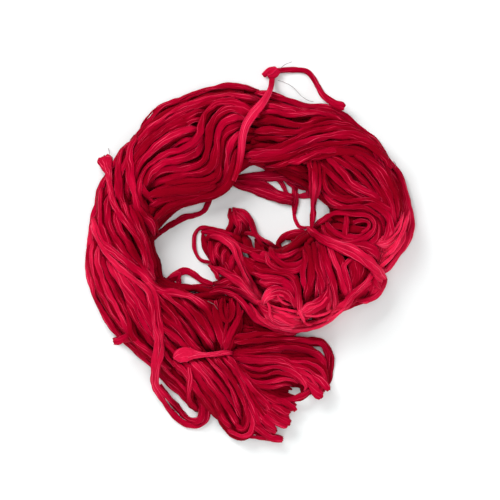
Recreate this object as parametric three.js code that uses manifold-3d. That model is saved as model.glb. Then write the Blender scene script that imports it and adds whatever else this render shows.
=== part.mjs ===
// A skein of sari silk ribbon yarn, laid down in an open spiral with its ties and loose ends.
// Millimetres, +Z up. It is seen from above, +X right and +Y away, and it rests on z = 0.
// The skein's turns are one solid, with the bundles of turns raised as ridges along it.

import * as THREE from 'three';
import Module from 'manifold-3d';

const wasm = await Module();
wasm.setup();

// Driving dimensions of the yarn and of how its turns bundle
const CLEARANCE = 0.3;
const RIDGE_HEIGHT = 4.2;
const RIDGE_POINTS = 4;
const RIDGE_WANDER = 0.45;
const BODY_FULLNESS = 2.5;
const WIDEST_AT = 0.3;
const FOOT_INSET = 0.07;
const LOCK_SIDES = 8;
const THIN_SIDES = 6;
const THIN_WIDTH = 6.5;
const SMALLEST_EDGE = 0.02;
const FACET_TOLERANCE = 0.25;
const SAME_SPOT = 0.002;

// The middle of the turns' base, in the layout that the edges and routes below are measured in
const LAYOUT_CENTRE = new THREE.Vector3(-0.1, -5.95, 0);

// Names the columns of a table, one object for each row
function table(columns, rows) {
  const names = columns.split(' ');
  return rows.map((row) => Object.fromEntries(names.map((name, i) => [name, row[i]])));
}

// The bundle's two edges as seen from above, and its height, from the gathered neck round the spiral
const ARM = table('outerX outerY innerX innerY height', [
  [-57, -115, 4, -52, 24],
  [-84, -88, -21, -31, 29],
  [-104, -71, -50, -25.5, 32],
  [-121, -46, -69, -20, 34],
  [-130, -22, -72, -8, 36],
  [-131.6, 4, -76, 6, 37],
  [-128, 29, -76, 15, 36],
  [-121, 54, -70, 25, 35],
  [-108, 78, -58, 34.5, 34],
  [-91, 99, -45, 40, 34],
  [-76, 117, -33, 43, 33],
  [-54, 126, -23, 49, 33],
  [-34, 134, -15, 57, 33],
  [-12, 137, -8, 65, 33],
  [8, 132, 2, 70, 33],
  [28, 126, 15, 67, 32],
  [46, 120, 30, 60, 32],
  [64, 121, 43, 52, 32],
  [78, 111, 53, 46, 33],
  [91, 98, 59, 41, 34],
  [106, 85, 63, 37, 35],
  [119, 66, 64, 33, 36],
  [126, 48, 62, 28, 36],
  [129, 28, 60, 23, 33],
  [122, 14, 66, 14, 26],
  [108, 4, 74, 6, 12],
]);

const LUMP = table('outerX outerY innerX innerY height', [
  [110, 56, 76, 50, 12],
  [124, 42, 64, 38, 26],
  [131.6, 22, 51, 21, 34],
  [124, 2, 43, 17, 37],
  [111, -14, 37, 15, 38],
  [105.5, -33, 32, 12, 38],
  [86, -44, 28, 10, 40],
  [67.5, -52.5, 24, 8, 41],
  [49, -62.5, 20, 6, 42],
  [29, -66.5, 13, 9, 42],
  [10, -61, 6, 16, 41],
  [-6, -47.5, -1, 27, 38],
  [-20, -34, -14, 23, 34],
  [-30, -24, -25, 21, 30],
  [-35, -10, -33, 22.5, 25],
  [-38, 1, -41, 21, 19],
]);

const FAN = table('outerX outerY innerX innerY height', [
  [-72, -99, -14, -45, 26],
  [-56, -116, 8, -51, 24],
  [-42, -125, 25, -60, 22],
  [-28, -130, 40, -68, 19],
  [-15, -141, 53, -80, 15],
  [-3, -146, 54, -95, 11],
  [9, -144, 42, -108, 8],
]);

// Locks and loose turns of the same yarn: centre line, width as seen from above, and thickness
const LOCK_COLUMNS = 'x y z width height';

const FAN_LOCKS = {
  firstRay: table(LOCK_COLUMNS, [
    [-36, -56, 22, 14, 9],
    [-8, -65, 22, 14, 9],
    [18, -70, 18, 13, 9],
    [44, -73, 9, 11, 9],
  ]),
  secondRay: table(LOCK_COLUMNS, [
    [-40, -68, 25, 14, 9],
    [-10, -79, 24, 15, 9],
    [20, -85, 18, 15, 9],
    [44, -95, 10, 12, 9],
  ]),
  thirdRay: table(LOCK_COLUMNS, [
    [-48, -80, 25, 14, 9],
    [-22, -93, 23, 15, 9],
    [2, -106, 16, 15, 9],
    [24, -116, 7, 11, 8],
  ]),
  fourthRay: table(LOCK_COLUMNS, [
    [-56, -90, 22, 14, 9],
    [-34, -108, 20, 14, 9],
    [-12, -126, 14, 14, 9],
    [2, -138, 7, 11, 8],
  ]),
  upperTurn: table(LOCK_COLUMNS, [
    [6, -76, 10, 16, 16],
    [28, -74, 9, 15, 15],
    [45, -73, 7, 13, 12],
    [56, -74.5, 6, 12, 10],
    [61.5, -83, 5.5, 12, 9],
    [59, -94, 6, 14, 10],
    [55, -103, 6, 14, 10],
    [40, -100, 8, 16, 12],
  ]),
  lowerTurn: table(LOCK_COLUMNS, [
    [58, -96, 6, 12, 9],
    [56, -108, 5, 10, 8],
    [47, -110.5, 4, 7, 7],
    [37, -115, 4, 6, 7],
    [26, -118, 6, 9, 9],
    [10, -112, 8, 16, 12],
  ]),
  firstTip: table(LOCK_COLUMNS, [
    [4, -112, 8, 14, 12],
    [18, -121, 6, 14, 10],
    [29, -127.5, 4.5, 12, 7],
  ]),
  secondTip: table(LOCK_COLUMNS, [
    [0, -120, 8, 14, 12],
    [11, -133, 6, 15, 10],
    [20.5, -140.5, 4.5, 9, 7],
  ]),
  footTurn: table(LOCK_COLUMNS, [
    [-22, -120, 8, 15, 12],
    [-16, -135, 6, 12, 10],
    [-6, -143.5, 4.5, 9, 8],
    [5, -143, 4.5, 9, 8],
    [7, -130, 7, 12, 10],
  ]),
};

const LOOSE_TURNS = {
  hangingLoop: table(LOCK_COLUMNS, [
    [-70, -66, 16, 11, 9],
    [-72, -80, 13, 11, 9],
    [-75.5, -94, 8, 8, 8],
    [-75.5, -105, 4.5, 7, 7],
    [-70.5, -115, 4.5, 10, 7],
    [-62, -124, 4.5, 12, 7],
    [-53.5, -132, 4.5, 12, 7],
    [-44.5, -136, 4.5, 9.5, 7],
    [-37.5, -132, 5, 10, 8],
    [-38.5, -121, 6, 12, 9],
    [-42, -108, 9, 12, 9],
  ]),
  innerStrand: table(LOCK_COLUMNS, [
    [-82, 9, 9, 5, 5],
    [-74.5, 15.5, 6, 4.5, 5],
    [-66, 22, 4, 4.5, 5],
    [-58, 27, 3, 4.4, 5],
    [-49, 29.3, 3, 4.4, 5],
    [-40, 32.5, 3, 4.4, 5],
    [-34.5, 38, 4, 4.4, 5],
    [-31, 47, 8, 5, 5],
  ]),
  archStrand: table(LOCK_COLUMNS, [
    [-74, -22, 9, 6, 5],
    [-66, -21, 6, 6, 5],
    [-60, -15, 4, 5, 5],
    [-53, -13, 3, 4.6, 5],
    [-45, -15.5, 3, 4.6, 5],
    [-37, -21, 4, 6, 5],
    [-28, -25, 8, 6, 5],
  ]),
  tipLoop: table(LOCK_COLUMNS, [
    [-33, 19, 9, 5, 5],
    [-41, 19.5, 5, 3.6, 4],
    [-45.8, 13, 3, 3.2, 4],
    [-45.2, 4, 2.5, 3.2, 4],
    [-42, -4, 3, 3.4, 4],
    [-35, -8.4, 6, 4.4, 4],
    [-30, -8, 9, 5, 5],
  ]),
  crown: table(LOCK_COLUMNS, [
    [-3, 10, 14, 16, 18],
    [-8, 25, 10, 17, 16],
    [-10, 33, 7.5, 15, 12],
    [-11, 37.5, 6, 10, 8],
  ]),
  lipLoop: table(LOCK_COLUMNS, [
    [46, 15, 12, 12, 10],
    [34, 16.5, 8, 5, 7],
    [25, 13, 5, 3.6, 6],
    [22, 8, 6, 4, 6],
    [26, 2, 10, 6, 8],
  ]),
  thinCrossing: table(LOCK_COLUMNS, [
    [38, 62, 14, 3.6, 5],
    [36.5, 52, 8, 3, 4],
    [34.5, 40, 4, 2.6, 4],
    [34.3, 29, 4, 2.6, 4],
    [38, 22, 6, 3, 4],
    [45, 19, 11, 4, 5],
  ]),
  thickCrossing: table(LOCK_COLUMNS, [
    [50, 76, 25, 7, 8],
    [50, 60, 15, 7, 7],
    [50, 46, 9, 7, 6],
    [49.6, 35, 7, 3.6, 5],
    [49.5, 25, 11, 8, 6],
    [47, 14, 18, 5, 6],
  ]),
  flatRibbon: table(LOCK_COLUMNS, [
    [-16, 62, 7, 9, 4],
    [-6, 56.5, 5, 15, 3],
    [6, 55.5, 4, 19, 3],
    [20, 53, 4, 21, 3],
    [34, 51, 6, 22, 4],
    [48, 56, 10, 18, 6],
  ]),
  sweep: table(LOCK_COLUMNS, [
    [4, 110, 30, 8, 7],
    [-12, 119, 30, 10, 8],
    [-28, 117, 32, 10, 8],
    [-38, 106, 34, 9, 8],
    [-41, 95, 35, 9, 8],
    [-50, 85, 35, 9, 8],
    [-66, 79, 35, 9, 8],
    [-80, 70, 35, 8, 8],
    [-88, 56, 36, 8, 8],
    [-86, 43, 35, 8, 8],
    [-78, 33, 28, 8, 8],
  ]),
  outerSweep: table(LOCK_COLUMNS, [
    [-125.5, 26, 19, 9, 8],
    [-121, 8, 29, 10, 8],
    [-110, -6, 35, 11, 8],
    [-96, -20, 35, 11, 8],
    [-84, -32, 32, 10, 8],
    [-77, -46, 30, 10, 8],
    [-73, -62, 25, 10, 8],
    [-72, -76, 18, 10, 8],
  ]),
};

// Ties and loose ends, each a flat ribbon of its own: centre line, width and thickness
const TIE_BAND = table(LOCK_COLUMNS, [
  [-13.5, 58, 8, 4, 2.6],
  [-11.5, 63, 20, 4.4, 2.6],
  [-9, 71, 29, 5.2, 2.8],
  [-7.5, 81, 34.5, 6, 2.8],
  [-6.5, 92, 36.5, 6.6, 2.8],
  [-3.5, 102, 37, 7.2, 2.8],
  [2.5, 111, 36.5, 7.4, 2.8],
  [9, 119, 33, 6.6, 2.8],
  [14, 127, 24, 5.2, 2.8],
  [16.5, 134, 12, 4.6, 2.8],
  [17.3, 140, 5.5, 4.6, 2.8],
  [17.8, 146, 4, 4.6, 2.8],
]);

const TIE_KNOT = {
  wrap: table(LOCK_COLUMNS, [
    [14, 143.5, 4, 6, 5],
    [18, 145, 5, 9, 8],
    [22, 148.5, 4.5, 7, 6],
  ]),
  tail: table(LOCK_COLUMNS, [
    [10.5, 143.8, 2, 4, 3.6],
    [15, 147.5, 4, 5, 5],
    [20, 149.5, 4, 4, 4.5],
  ]),
};

const TIE_TAIL = table(LOCK_COLUMNS, [
  [20, 147.5, 3.5, 4.4, 3],
  [28, 148.3, 2, 4.4, 3],
  [38, 148.4, 1.7, 4.4, 3],
  [45.5, 147, 1.7, 4.6, 3],
  [50.5, 142, 1.7, 4.6, 3],
  [54.5, 135, 1.9, 4.6, 3],
  [58.5, 128, 4, 5, 3],
  [63.5, 123.2, 9, 6, 3],
  [69, 119.5, 14, 7.5, 2.8],
  [75, 117.3, 16, 9, 2.6],
]);

const LEFT_END = table(LOCK_COLUMNS, [
  [-82.5, -12, 37, 4.5, 2.8],
  [-83.5, -3, 37.6, 5, 2.8],
  [-87, 7, 38, 5, 2.8],
  [-92, 16, 38, 5, 2.8],
  [-99, 25, 37.6, 5.2, 2.8],
  [-105.5, 34, 36.5, 5.4, 2.8],
  [-110, 44, 34, 5.4, 2.8],
  [-112, 55, 29, 5.2, 2.8],
  [-113.5, 64, 19, 6, 2.8],
  [-116, 71, 10, 10.5, 3],
  [-118.5, 77.5, 4, 12.5, 3.4],
]);

const NECK_TIE = table(LOCK_COLUMNS, [
  [-14, -79.5, 20, 4, 2.4],
  [-20, -79, 25.5, 4.6, 2.4],
  [-29, -80.2, 28.5, 4.8, 2.4],
  [-38, -80.6, 29.5, 5, 2.4],
  [-45, -80.2, 30, 7.5, 2.4],
  [-51, -80, 30, 12.5, 2.4],
  [-57, -81.5, 29.5, 9.5, 2.4],
  [-61, -83, 29, 5, 2.4],
]);

const FAN_ENDS = {
  fan_end_1: table(LOCK_COLUMNS, [
    [42, -99, 10, 6, 3],
    [48, -105, 6.5, 8, 3],
    [53.5, -111, 3, 9, 3],
    [55, -115.5, 1.8, 8, 3],
  ]),
  fan_end_2: table(LOCK_COLUMNS, [
    [14, -115, 11, 6, 3],
    [22, -119.5, 7, 7, 3],
    [30, -122.5, 3, 7, 3],
    [36, -124.5, 1.8, 6.5, 3],
  ]),
  fan_end_3: table(LOCK_COLUMNS, [
    [11, -122, 12, 7, 3],
    [18, -127.5, 8, 8, 3],
    [25, -132, 3.5, 8.5, 3],
    [30.5, -134.5, 1.8, 7, 3],
  ]),
  fan_end_4: table(LOCK_COLUMNS, [
    [4, -138, 11, 6, 3],
    [11, -144.5, 6, 7, 3],
    [18, -148.5, 2.4, 6.5, 3],
    [26, -149.8, 1.8, 5, 3],
  ]),
};

const SIDE_END = table(LOCK_COLUMNS, [
  [-92, -68, 20, 5, 3],
  [-98, -69, 12, 5, 3],
  [-104, -69.5, 5, 5, 3],
  [-110.5, -69.8, 1.8, 5, 3],
]);

// Joins rings of points into one closed mesh, with a cap at each end
function skin(rings) {
  const sides = rings[0].length;
  const points = rings.flat();
  const triangles = [];
  for (let ring = 0; ring + 1 < rings.length; ring += 1) {
    for (let side = 0; side < sides; side += 1) {
      const a = ring * sides + side;
      const b = ring * sides + ((side + 1) % sides);
      triangles.push(a, b, b + sides, a, b + sides, a + sides);
    }
  }
  const last = rings.length - 1;
  for (const [ring, turn] of [[0, 1], [last, -1]]) {
    const middle = points.length;
    const centre = new THREE.Vector3();
    rings[ring].forEach((point) => centre.addScaledVector(point, 1 / sides));
    points.push(centre);
    for (let side = 0; side < sides; side += 1) {
      const a = ring * sides + side;
      const b = ring * sides + ((side + 1) % sides);
      triangles.push(...(turn > 0 ? [middle, b, a] : [middle, a, b]));
    }
  }
  return solidOf(points, triangles);
}

// The signed volume tells which way the faces point
function solidOf(points, triangles) {
  let volume = 0;
  for (let i = 0; i < triangles.length; i += 3) {
    const [a, b, c] = triangles.slice(i, i + 3).map((index) => points[index]);
    volume += a.dot(b.clone().cross(c));
  }
  const order = volume > 0 ? [0, 1, 2] : [0, 2, 1];
  const triVerts = new Uint32Array(triangles.length);
  for (let i = 0; i < triangles.length; i += 3) {
    order.forEach((from, to) => { triVerts[i + to] = triangles[i + from]; });
  }
  const vertProperties = new Float32Array(points.flatMap((point) => point.toArray()));
  return new wasm.Manifold(new wasm.Mesh({ numProp: 3, vertProperties, triVerts }));
}

// A smooth curve through three columns of a table
function through(rows, x, y, z) {
  return new THREE.CatmullRomCurve3(rows.map((row) => new THREE.Vector3(row[x] ?? 0, row[y] ?? 0, row[z] ?? 0)));
}

// A D-shaped bundle between two edges: ridges for its bundles of turns run along it and wander
function bundle(rows, { rings, ridges, seed }) {
  const outer = through(rows, 'outerX', 'outerY', 'height');
  const inner = through(rows, 'innerX', 'innerY', null);
  const columns = ridges * RIDGE_POINTS;
  const ringOf = (t) => {
    const from = outer.getPoint(t);
    const height = from.z;
    const to = inner.getPoint(t);
    from.z = 0;
    const at = (across, up) => {
      const point = from.clone().lerp(to, across);
      point.z = Math.max(0, up * height);
      return point;
    };
    const along = t * rows.length;
    const ring = [];
    for (let column = 0; column <= columns; column += 1) {
      const share = column / columns;
      const wander = RIDGE_WANDER * Math.sin(1.1 * along + 9 * share + seed)
        + 0.5 * RIDGE_WANDER * Math.sin(2.3 * along - 14 * share + 2 * seed);
      const angle = Math.PI * (share + (wander * Math.sin(Math.PI * share)) / ridges);
      const crest = Math.sin((Math.PI * (column % RIDGE_POINTS)) / RIDGE_POINTS);
      const proud = 1 - Math.cos(3 * share * Math.PI + 0.7 * along + seed) * 0.3;
      const sink = (RIDGE_HEIGHT * (crest * proud - 1)) / height;
      const across = Math.sign(Math.cos(angle)) * Math.abs(Math.cos(angle)) ** (2 / BODY_FULLNESS);
      const up = Math.abs(Math.sin(angle)) ** (2 / BODY_FULLNESS);
      const shrink = 1 + sink * up;
      ring.push(at(0.5 - 0.5 * across * shrink, WIDEST_AT + (1 - WIDEST_AT) * up * (1 + sink)));
    }
    ring.push(at(1 - FOOT_INSET / 3, WIDEST_AT / 2.5));
    ring.push(at(1 - FOOT_INSET, 0));
    ring.push(at(FOOT_INSET, 0));
    ring.push(at(FOOT_INSET / 3, WIDEST_AT / 2.5));
    return ring;
  };
  return skin(Array.from({ length: rings + 1 }, (_, i) => ringOf(i / rings)));
}

// A lock or ribbon: a flattened tube along its route, never lower than the surface
function strand(rows, { steps = 2, grow = 0 } = {}) {
  const route = through(rows, 'x', 'y', 'z');
  const size = through(rows, 'width', 'height', null);
  const sides = rows.some((row) => row.width > THIN_WIDTH) ? LOCK_SIDES : THIN_SIDES;
  const count = (rows.length - 1) * steps;
  const rings = [];
  for (let i = 0; i <= count; i += 1) {
    const centre = route.getPoint(i / count);
    const { x: width, y: height } = size.getPoint(i / count);
    const heading = route.getTangent(i / count);
    const across = new THREE.Vector3(-heading.y, heading.x, 0).normalize();
    const upward = new THREE.Vector3().crossVectors(heading, across).normalize();
    if (upward.z < 0) upward.negate();
    if (i === 0) centre.addScaledVector(heading, -grow);
    if (i === count) centre.addScaledVector(heading, grow);
    const ring = [];
    for (let side = 0; side < sides; side += 1) {
      const angle = (2 * Math.PI * (side + 0.5)) / sides;
      const point = centre.clone()
        .addScaledVector(across, Math.cos(angle) * (width / 2 + grow) * 1.08)
        .addScaledVector(upward, Math.sin(angle) * (height / 2 + grow) * 1.08);
      point.z = Math.max(grow > 0 ? -grow : 0, point.z);
      ring.push(point);
    }
    rings.push(ring);
  }
  return skin(rings);
}

const join = (solids) => solids.reduce((whole, solid) => whole.add(solid));

// Wound form of the skein with its locks and loose turns
function skein() {
  return join([
    bundle(ARM, { rings: 46, ridges: 8, seed: 0.4 }),
    bundle(LUMP, { rings: 24, ridges: 6, seed: 2.1 }),
    bundle(FAN, { rings: 10, ridges: 7, seed: 4.4 }),
    ...Object.values(FAN_LOCKS).map((rows) => strand(rows)),
    ...Object.values(LOOSE_TURNS).map((rows) => strand(rows)),
  ]);
}

// Each tie and end, and the same grown by the clearance to press its bed into the skein
const knot = (grow) => join(Object.values(TIE_KNOT).map((rows) => strand(rows, { grow })));
const ENDS = { left_end: LEFT_END, neck_tie: NECK_TIE, side_end: SIDE_END, ...FAN_ENDS };

function pieces() {
  const bed = join([TIE_BAND, TIE_TAIL, ...Object.values(ENDS)].map((rows) => strand(rows, { grow: CLEARANCE })));
  return {
    skein: skein().subtract(bed),
    tie_band: strand(TIE_BAND).subtract(knot(CLEARANCE)),
    tie_knot: knot(0),
    tie_tail: strand(TIE_TAIL).subtract(knot(CLEARANCE)),
    ...Object.fromEntries(Object.entries(ENDS).map(([name, rows]) => [name, strand(rows)])),
  };
}

// Where bundles cross, two corners can fall on one spot: each later one moves a hair towards its own faces
function partTwins(positions, triangles) {
  const corner = (index) => new THREE.Vector3().fromArray(positions, 3 * index);
  const spotOf = (point) => point.toArray().map((value) => Math.round(value / SAME_SPOT)).join();
  const taken = new Set();
  for (let index = 0; 3 * index < positions.length; index += 1) {
    const spot = spotOf(corner(index));
    if (taken.has(spot)) {
      const pull = new THREE.Vector3();
      for (let i = 0; i < triangles.length; i += 3) {
        const face = triangles.subarray(i, i + 3);
        if (face.includes(index)) face.forEach((other) => pull.add(corner(other).sub(corner(index))));
      }
      corner(index).addScaledVector(pull.normalize(), SMALLEST_EDGE).toArray(positions, 3 * index);
    }
    taken.add(spot);
  }
}

// The largest closed body of a solid, as a three.js geometry
function geometryOf(solid) {
  const bodies = solid.decompose().sort((a, b) => b.volume() - a.volume());
  const { vertProperties, triVerts } = bodies[0].simplify(FACET_TOLERANCE).getMesh();
  partTwins(vertProperties, triVerts);
  const geometry = new THREE.BufferGeometry();
  geometry.setAttribute('position', new THREE.BufferAttribute(new Float32Array(vertProperties), 3));
  geometry.setIndex(new THREE.BufferAttribute(new Uint32Array(triVerts), 1));
  geometry.computeVertexNormals();
  return geometry;
}

const silk = (shade) => new THREE.MeshStandardMaterial({ color: shade, roughness: 0.55, metalness: 0 });
const SHADES = { skein: '#a50d27', tie_band: '#d8324e', tie_knot: '#b51a35', tie_tail: '#a81530', neck_tie: '#e2395a' };
const END_SHADE = '#c01c3a';

const group = new THREE.Group();
for (const [name, solid] of Object.entries(pieces())) {
  const mesh = new THREE.Mesh(geometryOf(solid), silk(SHADES[name] ?? END_SHADE));
  mesh.name = name;
  mesh.position.sub(LAYOUT_CENTRE);
  group.add(mesh);
}

export default group;
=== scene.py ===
"""Looks of a skein of sari silk ribbon yarn: every turn is a crumpled ribbon laid on those below it.

Lengths in the tables are millimetres in the photograph's layout, as in the part's source:
x to the right, y away from the viewer, z up from the surface. Blender gets metres.
"""

import math

import bpy
import numpy as np
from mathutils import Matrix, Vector
from mathutils.bvhtree import BVHTree


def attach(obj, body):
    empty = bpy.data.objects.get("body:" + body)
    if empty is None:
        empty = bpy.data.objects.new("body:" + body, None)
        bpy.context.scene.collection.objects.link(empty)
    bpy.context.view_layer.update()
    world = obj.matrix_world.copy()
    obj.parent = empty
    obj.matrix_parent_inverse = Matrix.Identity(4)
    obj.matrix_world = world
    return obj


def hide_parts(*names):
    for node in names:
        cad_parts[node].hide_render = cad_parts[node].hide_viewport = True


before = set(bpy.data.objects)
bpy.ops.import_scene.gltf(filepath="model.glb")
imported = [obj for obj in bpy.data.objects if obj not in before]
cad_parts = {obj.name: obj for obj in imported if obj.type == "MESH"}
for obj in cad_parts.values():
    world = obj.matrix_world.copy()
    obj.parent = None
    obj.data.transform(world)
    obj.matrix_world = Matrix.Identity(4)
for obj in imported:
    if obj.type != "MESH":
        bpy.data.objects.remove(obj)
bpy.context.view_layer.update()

MM = 0.001
TINY = 1e-9
SEED = 20
LAYOUT_CENTRE = (-0.1, -5.95)
PHOTO_PIXEL = 0.8
PHOTO_SIDE = 500
PHOTO_MIDDLE = (250.5, 253.5)
LENS = 160
SENSOR = 36
FOCUS_HEIGHT = 0.02

# A usual turn, crumpled lengthwise, and how fine its cloth's pattern may get on a narrow or wide one
RIBBON_WIDTH = 5.7
RIBBON_THICKNESS = 3.8
FINENESS = (0.75, 3.0)
PATTERN_LENGTH = 100
LOWEST = 0.05

# Each fold is an edge with a point on either side of it, and then two points on the lobe beyond
FOLD_POINTS = 5
EDGE_HALF_WIDTH = 0.4
EDGE_DRIFT = 0.528
EDGE_HEIGHT = 0.14
CREASE_DEPTH = 0.34
LOBE_PARTS = (0.3, 0.7)

# How far apart the bends of each unevenness are along a ribbon, or from and to
TWIST_BENDS = (50, 100)
EDGE_BENDS = 46
WIDTH_BENDS = 38
THICKNESS_BENDS = 27
SHOWN_BENDS = (35, 80)
BASE_BENDS = 31
LOBE_BENDS = (18, 40)
FINE_BENDS = 9
SWAY_BENDS = (20, 40)

# How ribbons lie: the steepest slope to a side, how they hang between high places, how they sink and
# taper at their ends, how thick they are against their width, and how far they sway
STEEPEST = 0.75
REST_ON_HIGHEST = 0.5
BRIDGE_SAG = 0.035
BRIDGE_REACH = 11.0
DIVE_LENGTH = 13.0
DIVE_DEPTH = 7.0
TAPER_LENGTH = 9.0
TAPER_WIDTH = 0.4
FLATNESS = 0.4
SWAY = 0.45

# The pressed pile's top: where it starts to soften, how far it rises beyond, and how slowly
SOFT_TOP = 36.0
TOP_ROOM = 6
TOP_SOFTNESS = 9

# The distances between points: of turns as they are laid and as they are drawn, of the plainer ones
# below them, of the hidden ones, and of threads and the knot
LAY_STEP = 1.6
DRAW_STEP = 2.0
PLAIN_STEP = 3.2
LANE_STEP = 3.6
FINE_STEP = 1.0

# The bundle's two edges seen from above, from the spread loops round the spiral to its inner end:
# x and y of the outer edge, then of the inner edge
SPIRAL = (
    (2, -147, 66, -79), (-12, -144, 57, -70), (-25, -133, 44, -66), (-42, -125, 25, -61),
    (-57, -115, 6, -51), (-84, -88, -21, -31), (-104, -71, -50, -25.5), (-121, -46, -69, -20),
    (-130, -22, -72, -8), (-131.6, 4, -76, 6), (-128, 29, -76, 15), (-121, 54, -70, 25),
    (-108, 78, -58, 34.5), (-91, 99, -45, 40), (-76, 117, -33, 43), (-54, 126, -23, 49),
    (-34, 134, -15, 57), (-12, 137, -8, 65), (8, 132, 2, 70), (28, 126, 15, 67), (46, 120, 30, 60),
    (64, 120, 43, 52), (78, 111, 53, 46), (91, 98, 59, 41), (106, 85, 63, 37), (119, 66, 64, 33),
    (126, 48, 62, 28), (131, 22, 53, 21), (124, 2, 43, 17), (111, -14, 37, 15), (105, -32, 32, 12),
    (86, -43, 28, 10), (67, -52, 24, 8), (49, -62, 20, 6), (29, -66, 13, 9), (10, -61, 6, 16),
    (-6, -47, -1, 27), (-20, -34, -14, 23), (-30, -24, -25, 21), (-35, -10, -33, 22), (-38, 1, -41, 21),
)
# The most of these rows, at the inner end, that a hidden turn leaves out
LUMP_ROWS = 8
# The hidden turns' levels, as parts of the height, and how many lie side by side in each
LEVELS = ((0.0, 12), (0.25, 12), (0.5, 10), (0.7, 8), (0.82, 8))


def smooth(points, per_span=12):
    """Catmull-Rom curve through points, with per_span samples between each two."""
    p = np.asarray(points, float)
    p = np.vstack((2 * p[0] - p[1], p, 2 * p[-1] - p[-2]))
    t = np.arange(per_span)[:, None] / per_span
    spans = [
        0.5 * (2 * b + (c - a) * t + (2 * a - 5 * b + 4 * c - d) * t**2 + (3 * b - a - 3 * c + d) * t**3)
        for a, b, c, d in zip(p[:-3], p[1:-2], p[2:-1], p[3:])
    ]
    return np.vstack(spans + [p[-2:-1]])


def run_along(points):
    """How far along a line each of its points is."""
    return np.concatenate(([0], np.cumsum(np.linalg.norm(np.diff(points, axis=0), axis=1))))


def even(points, step):
    """The same line with its points a step apart."""
    run = run_along(points)
    at = np.linspace(0, run[-1], max(4, int(round(run[-1] / step)) + 1))
    return np.column_stack([np.interp(at, run, points[:, k]) for k in range(points.shape[1])])


def heading_of(line):
    """The direction of a line at each of its points."""
    heading = np.gradient(line, axis=0)
    return heading / (np.linalg.norm(heading, axis=1)[:, None] + TINY)


def across_of(line):
    """The way to the left of a flat line at each of its points."""
    heading = heading_of(line)
    return np.column_stack((-heading[:, 1], heading[:, 0]))


def from_end(count, step, both_ends=True):
    """How far each point of a line is from its start, or from the nearer end."""
    run = step * np.arange(count)
    return np.minimum(run, run[::-1]) if both_ends else run


def wave(rng, count, step, length):
    """Smooth noise along a line: about -1 to 1, with bends about a length apart."""
    s = np.arange(count) * step
    total = np.zeros(count)
    for octave, part in ((1, 0.6), (1.9, 0.35), (3.7, 0.2)):
        total += part * np.sin(2 * np.pi * s * octave / length + rng.uniform(0, 2 * np.pi))
    return total


def widest(line, reach):
    """The highest value near each place of a line."""
    padded = np.pad(line, reach, mode="edge")
    return np.max([padded[k:k + len(line)] for k in range(2 * reach + 1)], axis=0)


def bell(spread):
    """How many places a blur reaches to each side, and its weights."""
    reach = int(3 * spread)
    return reach, np.exp(-0.5 * (np.arange(-reach, reach + 1) / spread) ** 2)


def smooth_line(line, spread):
    """A line of values smoothed."""
    reach, weights = bell(spread)
    return np.convolve(np.pad(line, reach, mode="edge"), weights / weights.sum(), mode="valid")


def blurred(grid, spread):
    """A grid smoothed both ways; its weights don't add up to one."""
    reach, weights = bell(spread)
    for _ in range(2):
        grid = np.array([np.convolve(np.pad(row, reach), weights, mode="valid") for row in grid]).T
    return grid


def bridged(heights, xy):
    """What a stiffish ribbon rests on: it leaves each high place in a curve and then hangs down."""
    run = run_along(xy)
    apart = np.abs(run[:, None] - run[None])
    straight = BRIDGE_SAG * BRIDGE_REACH * (2 * apart - BRIDGE_REACH)
    sag = np.where(apart < BRIDGE_REACH, BRIDGE_SAG * apart**2, straight)
    return (heights[None] - sag).max(axis=1)


def metres(point):
    """A layout point as Blender holds it."""
    return ((point[0] - LAYOUT_CENTRE[0]) * MM, (point[1] - LAYOUT_CENTRE[1]) * MM, point[2] * MM)


class Pile:
    """How high the yarn laid so far reaches, on a grid of 1 mm cells."""

    LOW = np.array([-150.0, -165.0])
    SIZE = (300, 340)
    PLACES = np.linspace(-0.46, 0.46, 7)

    def __init__(self):
        self.top = np.zeros(self.SIZE)

    def cells(self, xy):
        """The grid's cells at some places."""
        at = np.clip(np.round(xy - self.LOW).astype(int), 0, np.array(self.SIZE) - 1)
        return at[..., 0], at[..., 1]

    def under(self, xy, width):
        """The pile's height at places across a ribbon."""
        across = width[:, None] * across_of(xy)
        return self.top[self.cells(xy[None] + self.PLACES[:, None, None] * across[None])]

    def lay(self, xy, width, thickness, drop=0.0):
        """Heights and sideways slopes of a ribbon that comes down on the pile, which then holds it too."""
        under = self.under(xy, width)
        across = across_of(xy)
        places = self.PLACES[:, None]
        tilt = (places * under).sum(axis=0) / ((self.PLACES**2).sum() * width)
        tilt = smooth_line(np.clip(tilt, -STEEPEST, STEEPEST), 2.5)
        level = under - places * width * tilt
        carried = REST_ON_HIGHEST * level.max(axis=0) + (1 - REST_ON_HIGHEST) * level.mean(axis=0)
        carried = smooth_line(bridged(widest(carried, 1), xy), 2.0)
        z = carried + 0.46 * thickness - drop
        z = np.maximum(z, 0.5 * thickness)
        for part in np.linspace(-0.5, 0.5, 9):
            rise = 0.5 * thickness * math.sqrt(max(0.0, 1 - (2 * part) ** 2 * 0.8)) + part * width * tilt
            np.maximum.at(self.top, self.cells(xy + part * width[:, None] * across), z + rise)
            middle = 0.5 * (xy[1:] + xy[:-1]) + part * width[1:, None] * across[1:]
            np.maximum.at(self.top, self.cells(middle), z[1:] + rise[1:])
        return z, tilt


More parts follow.
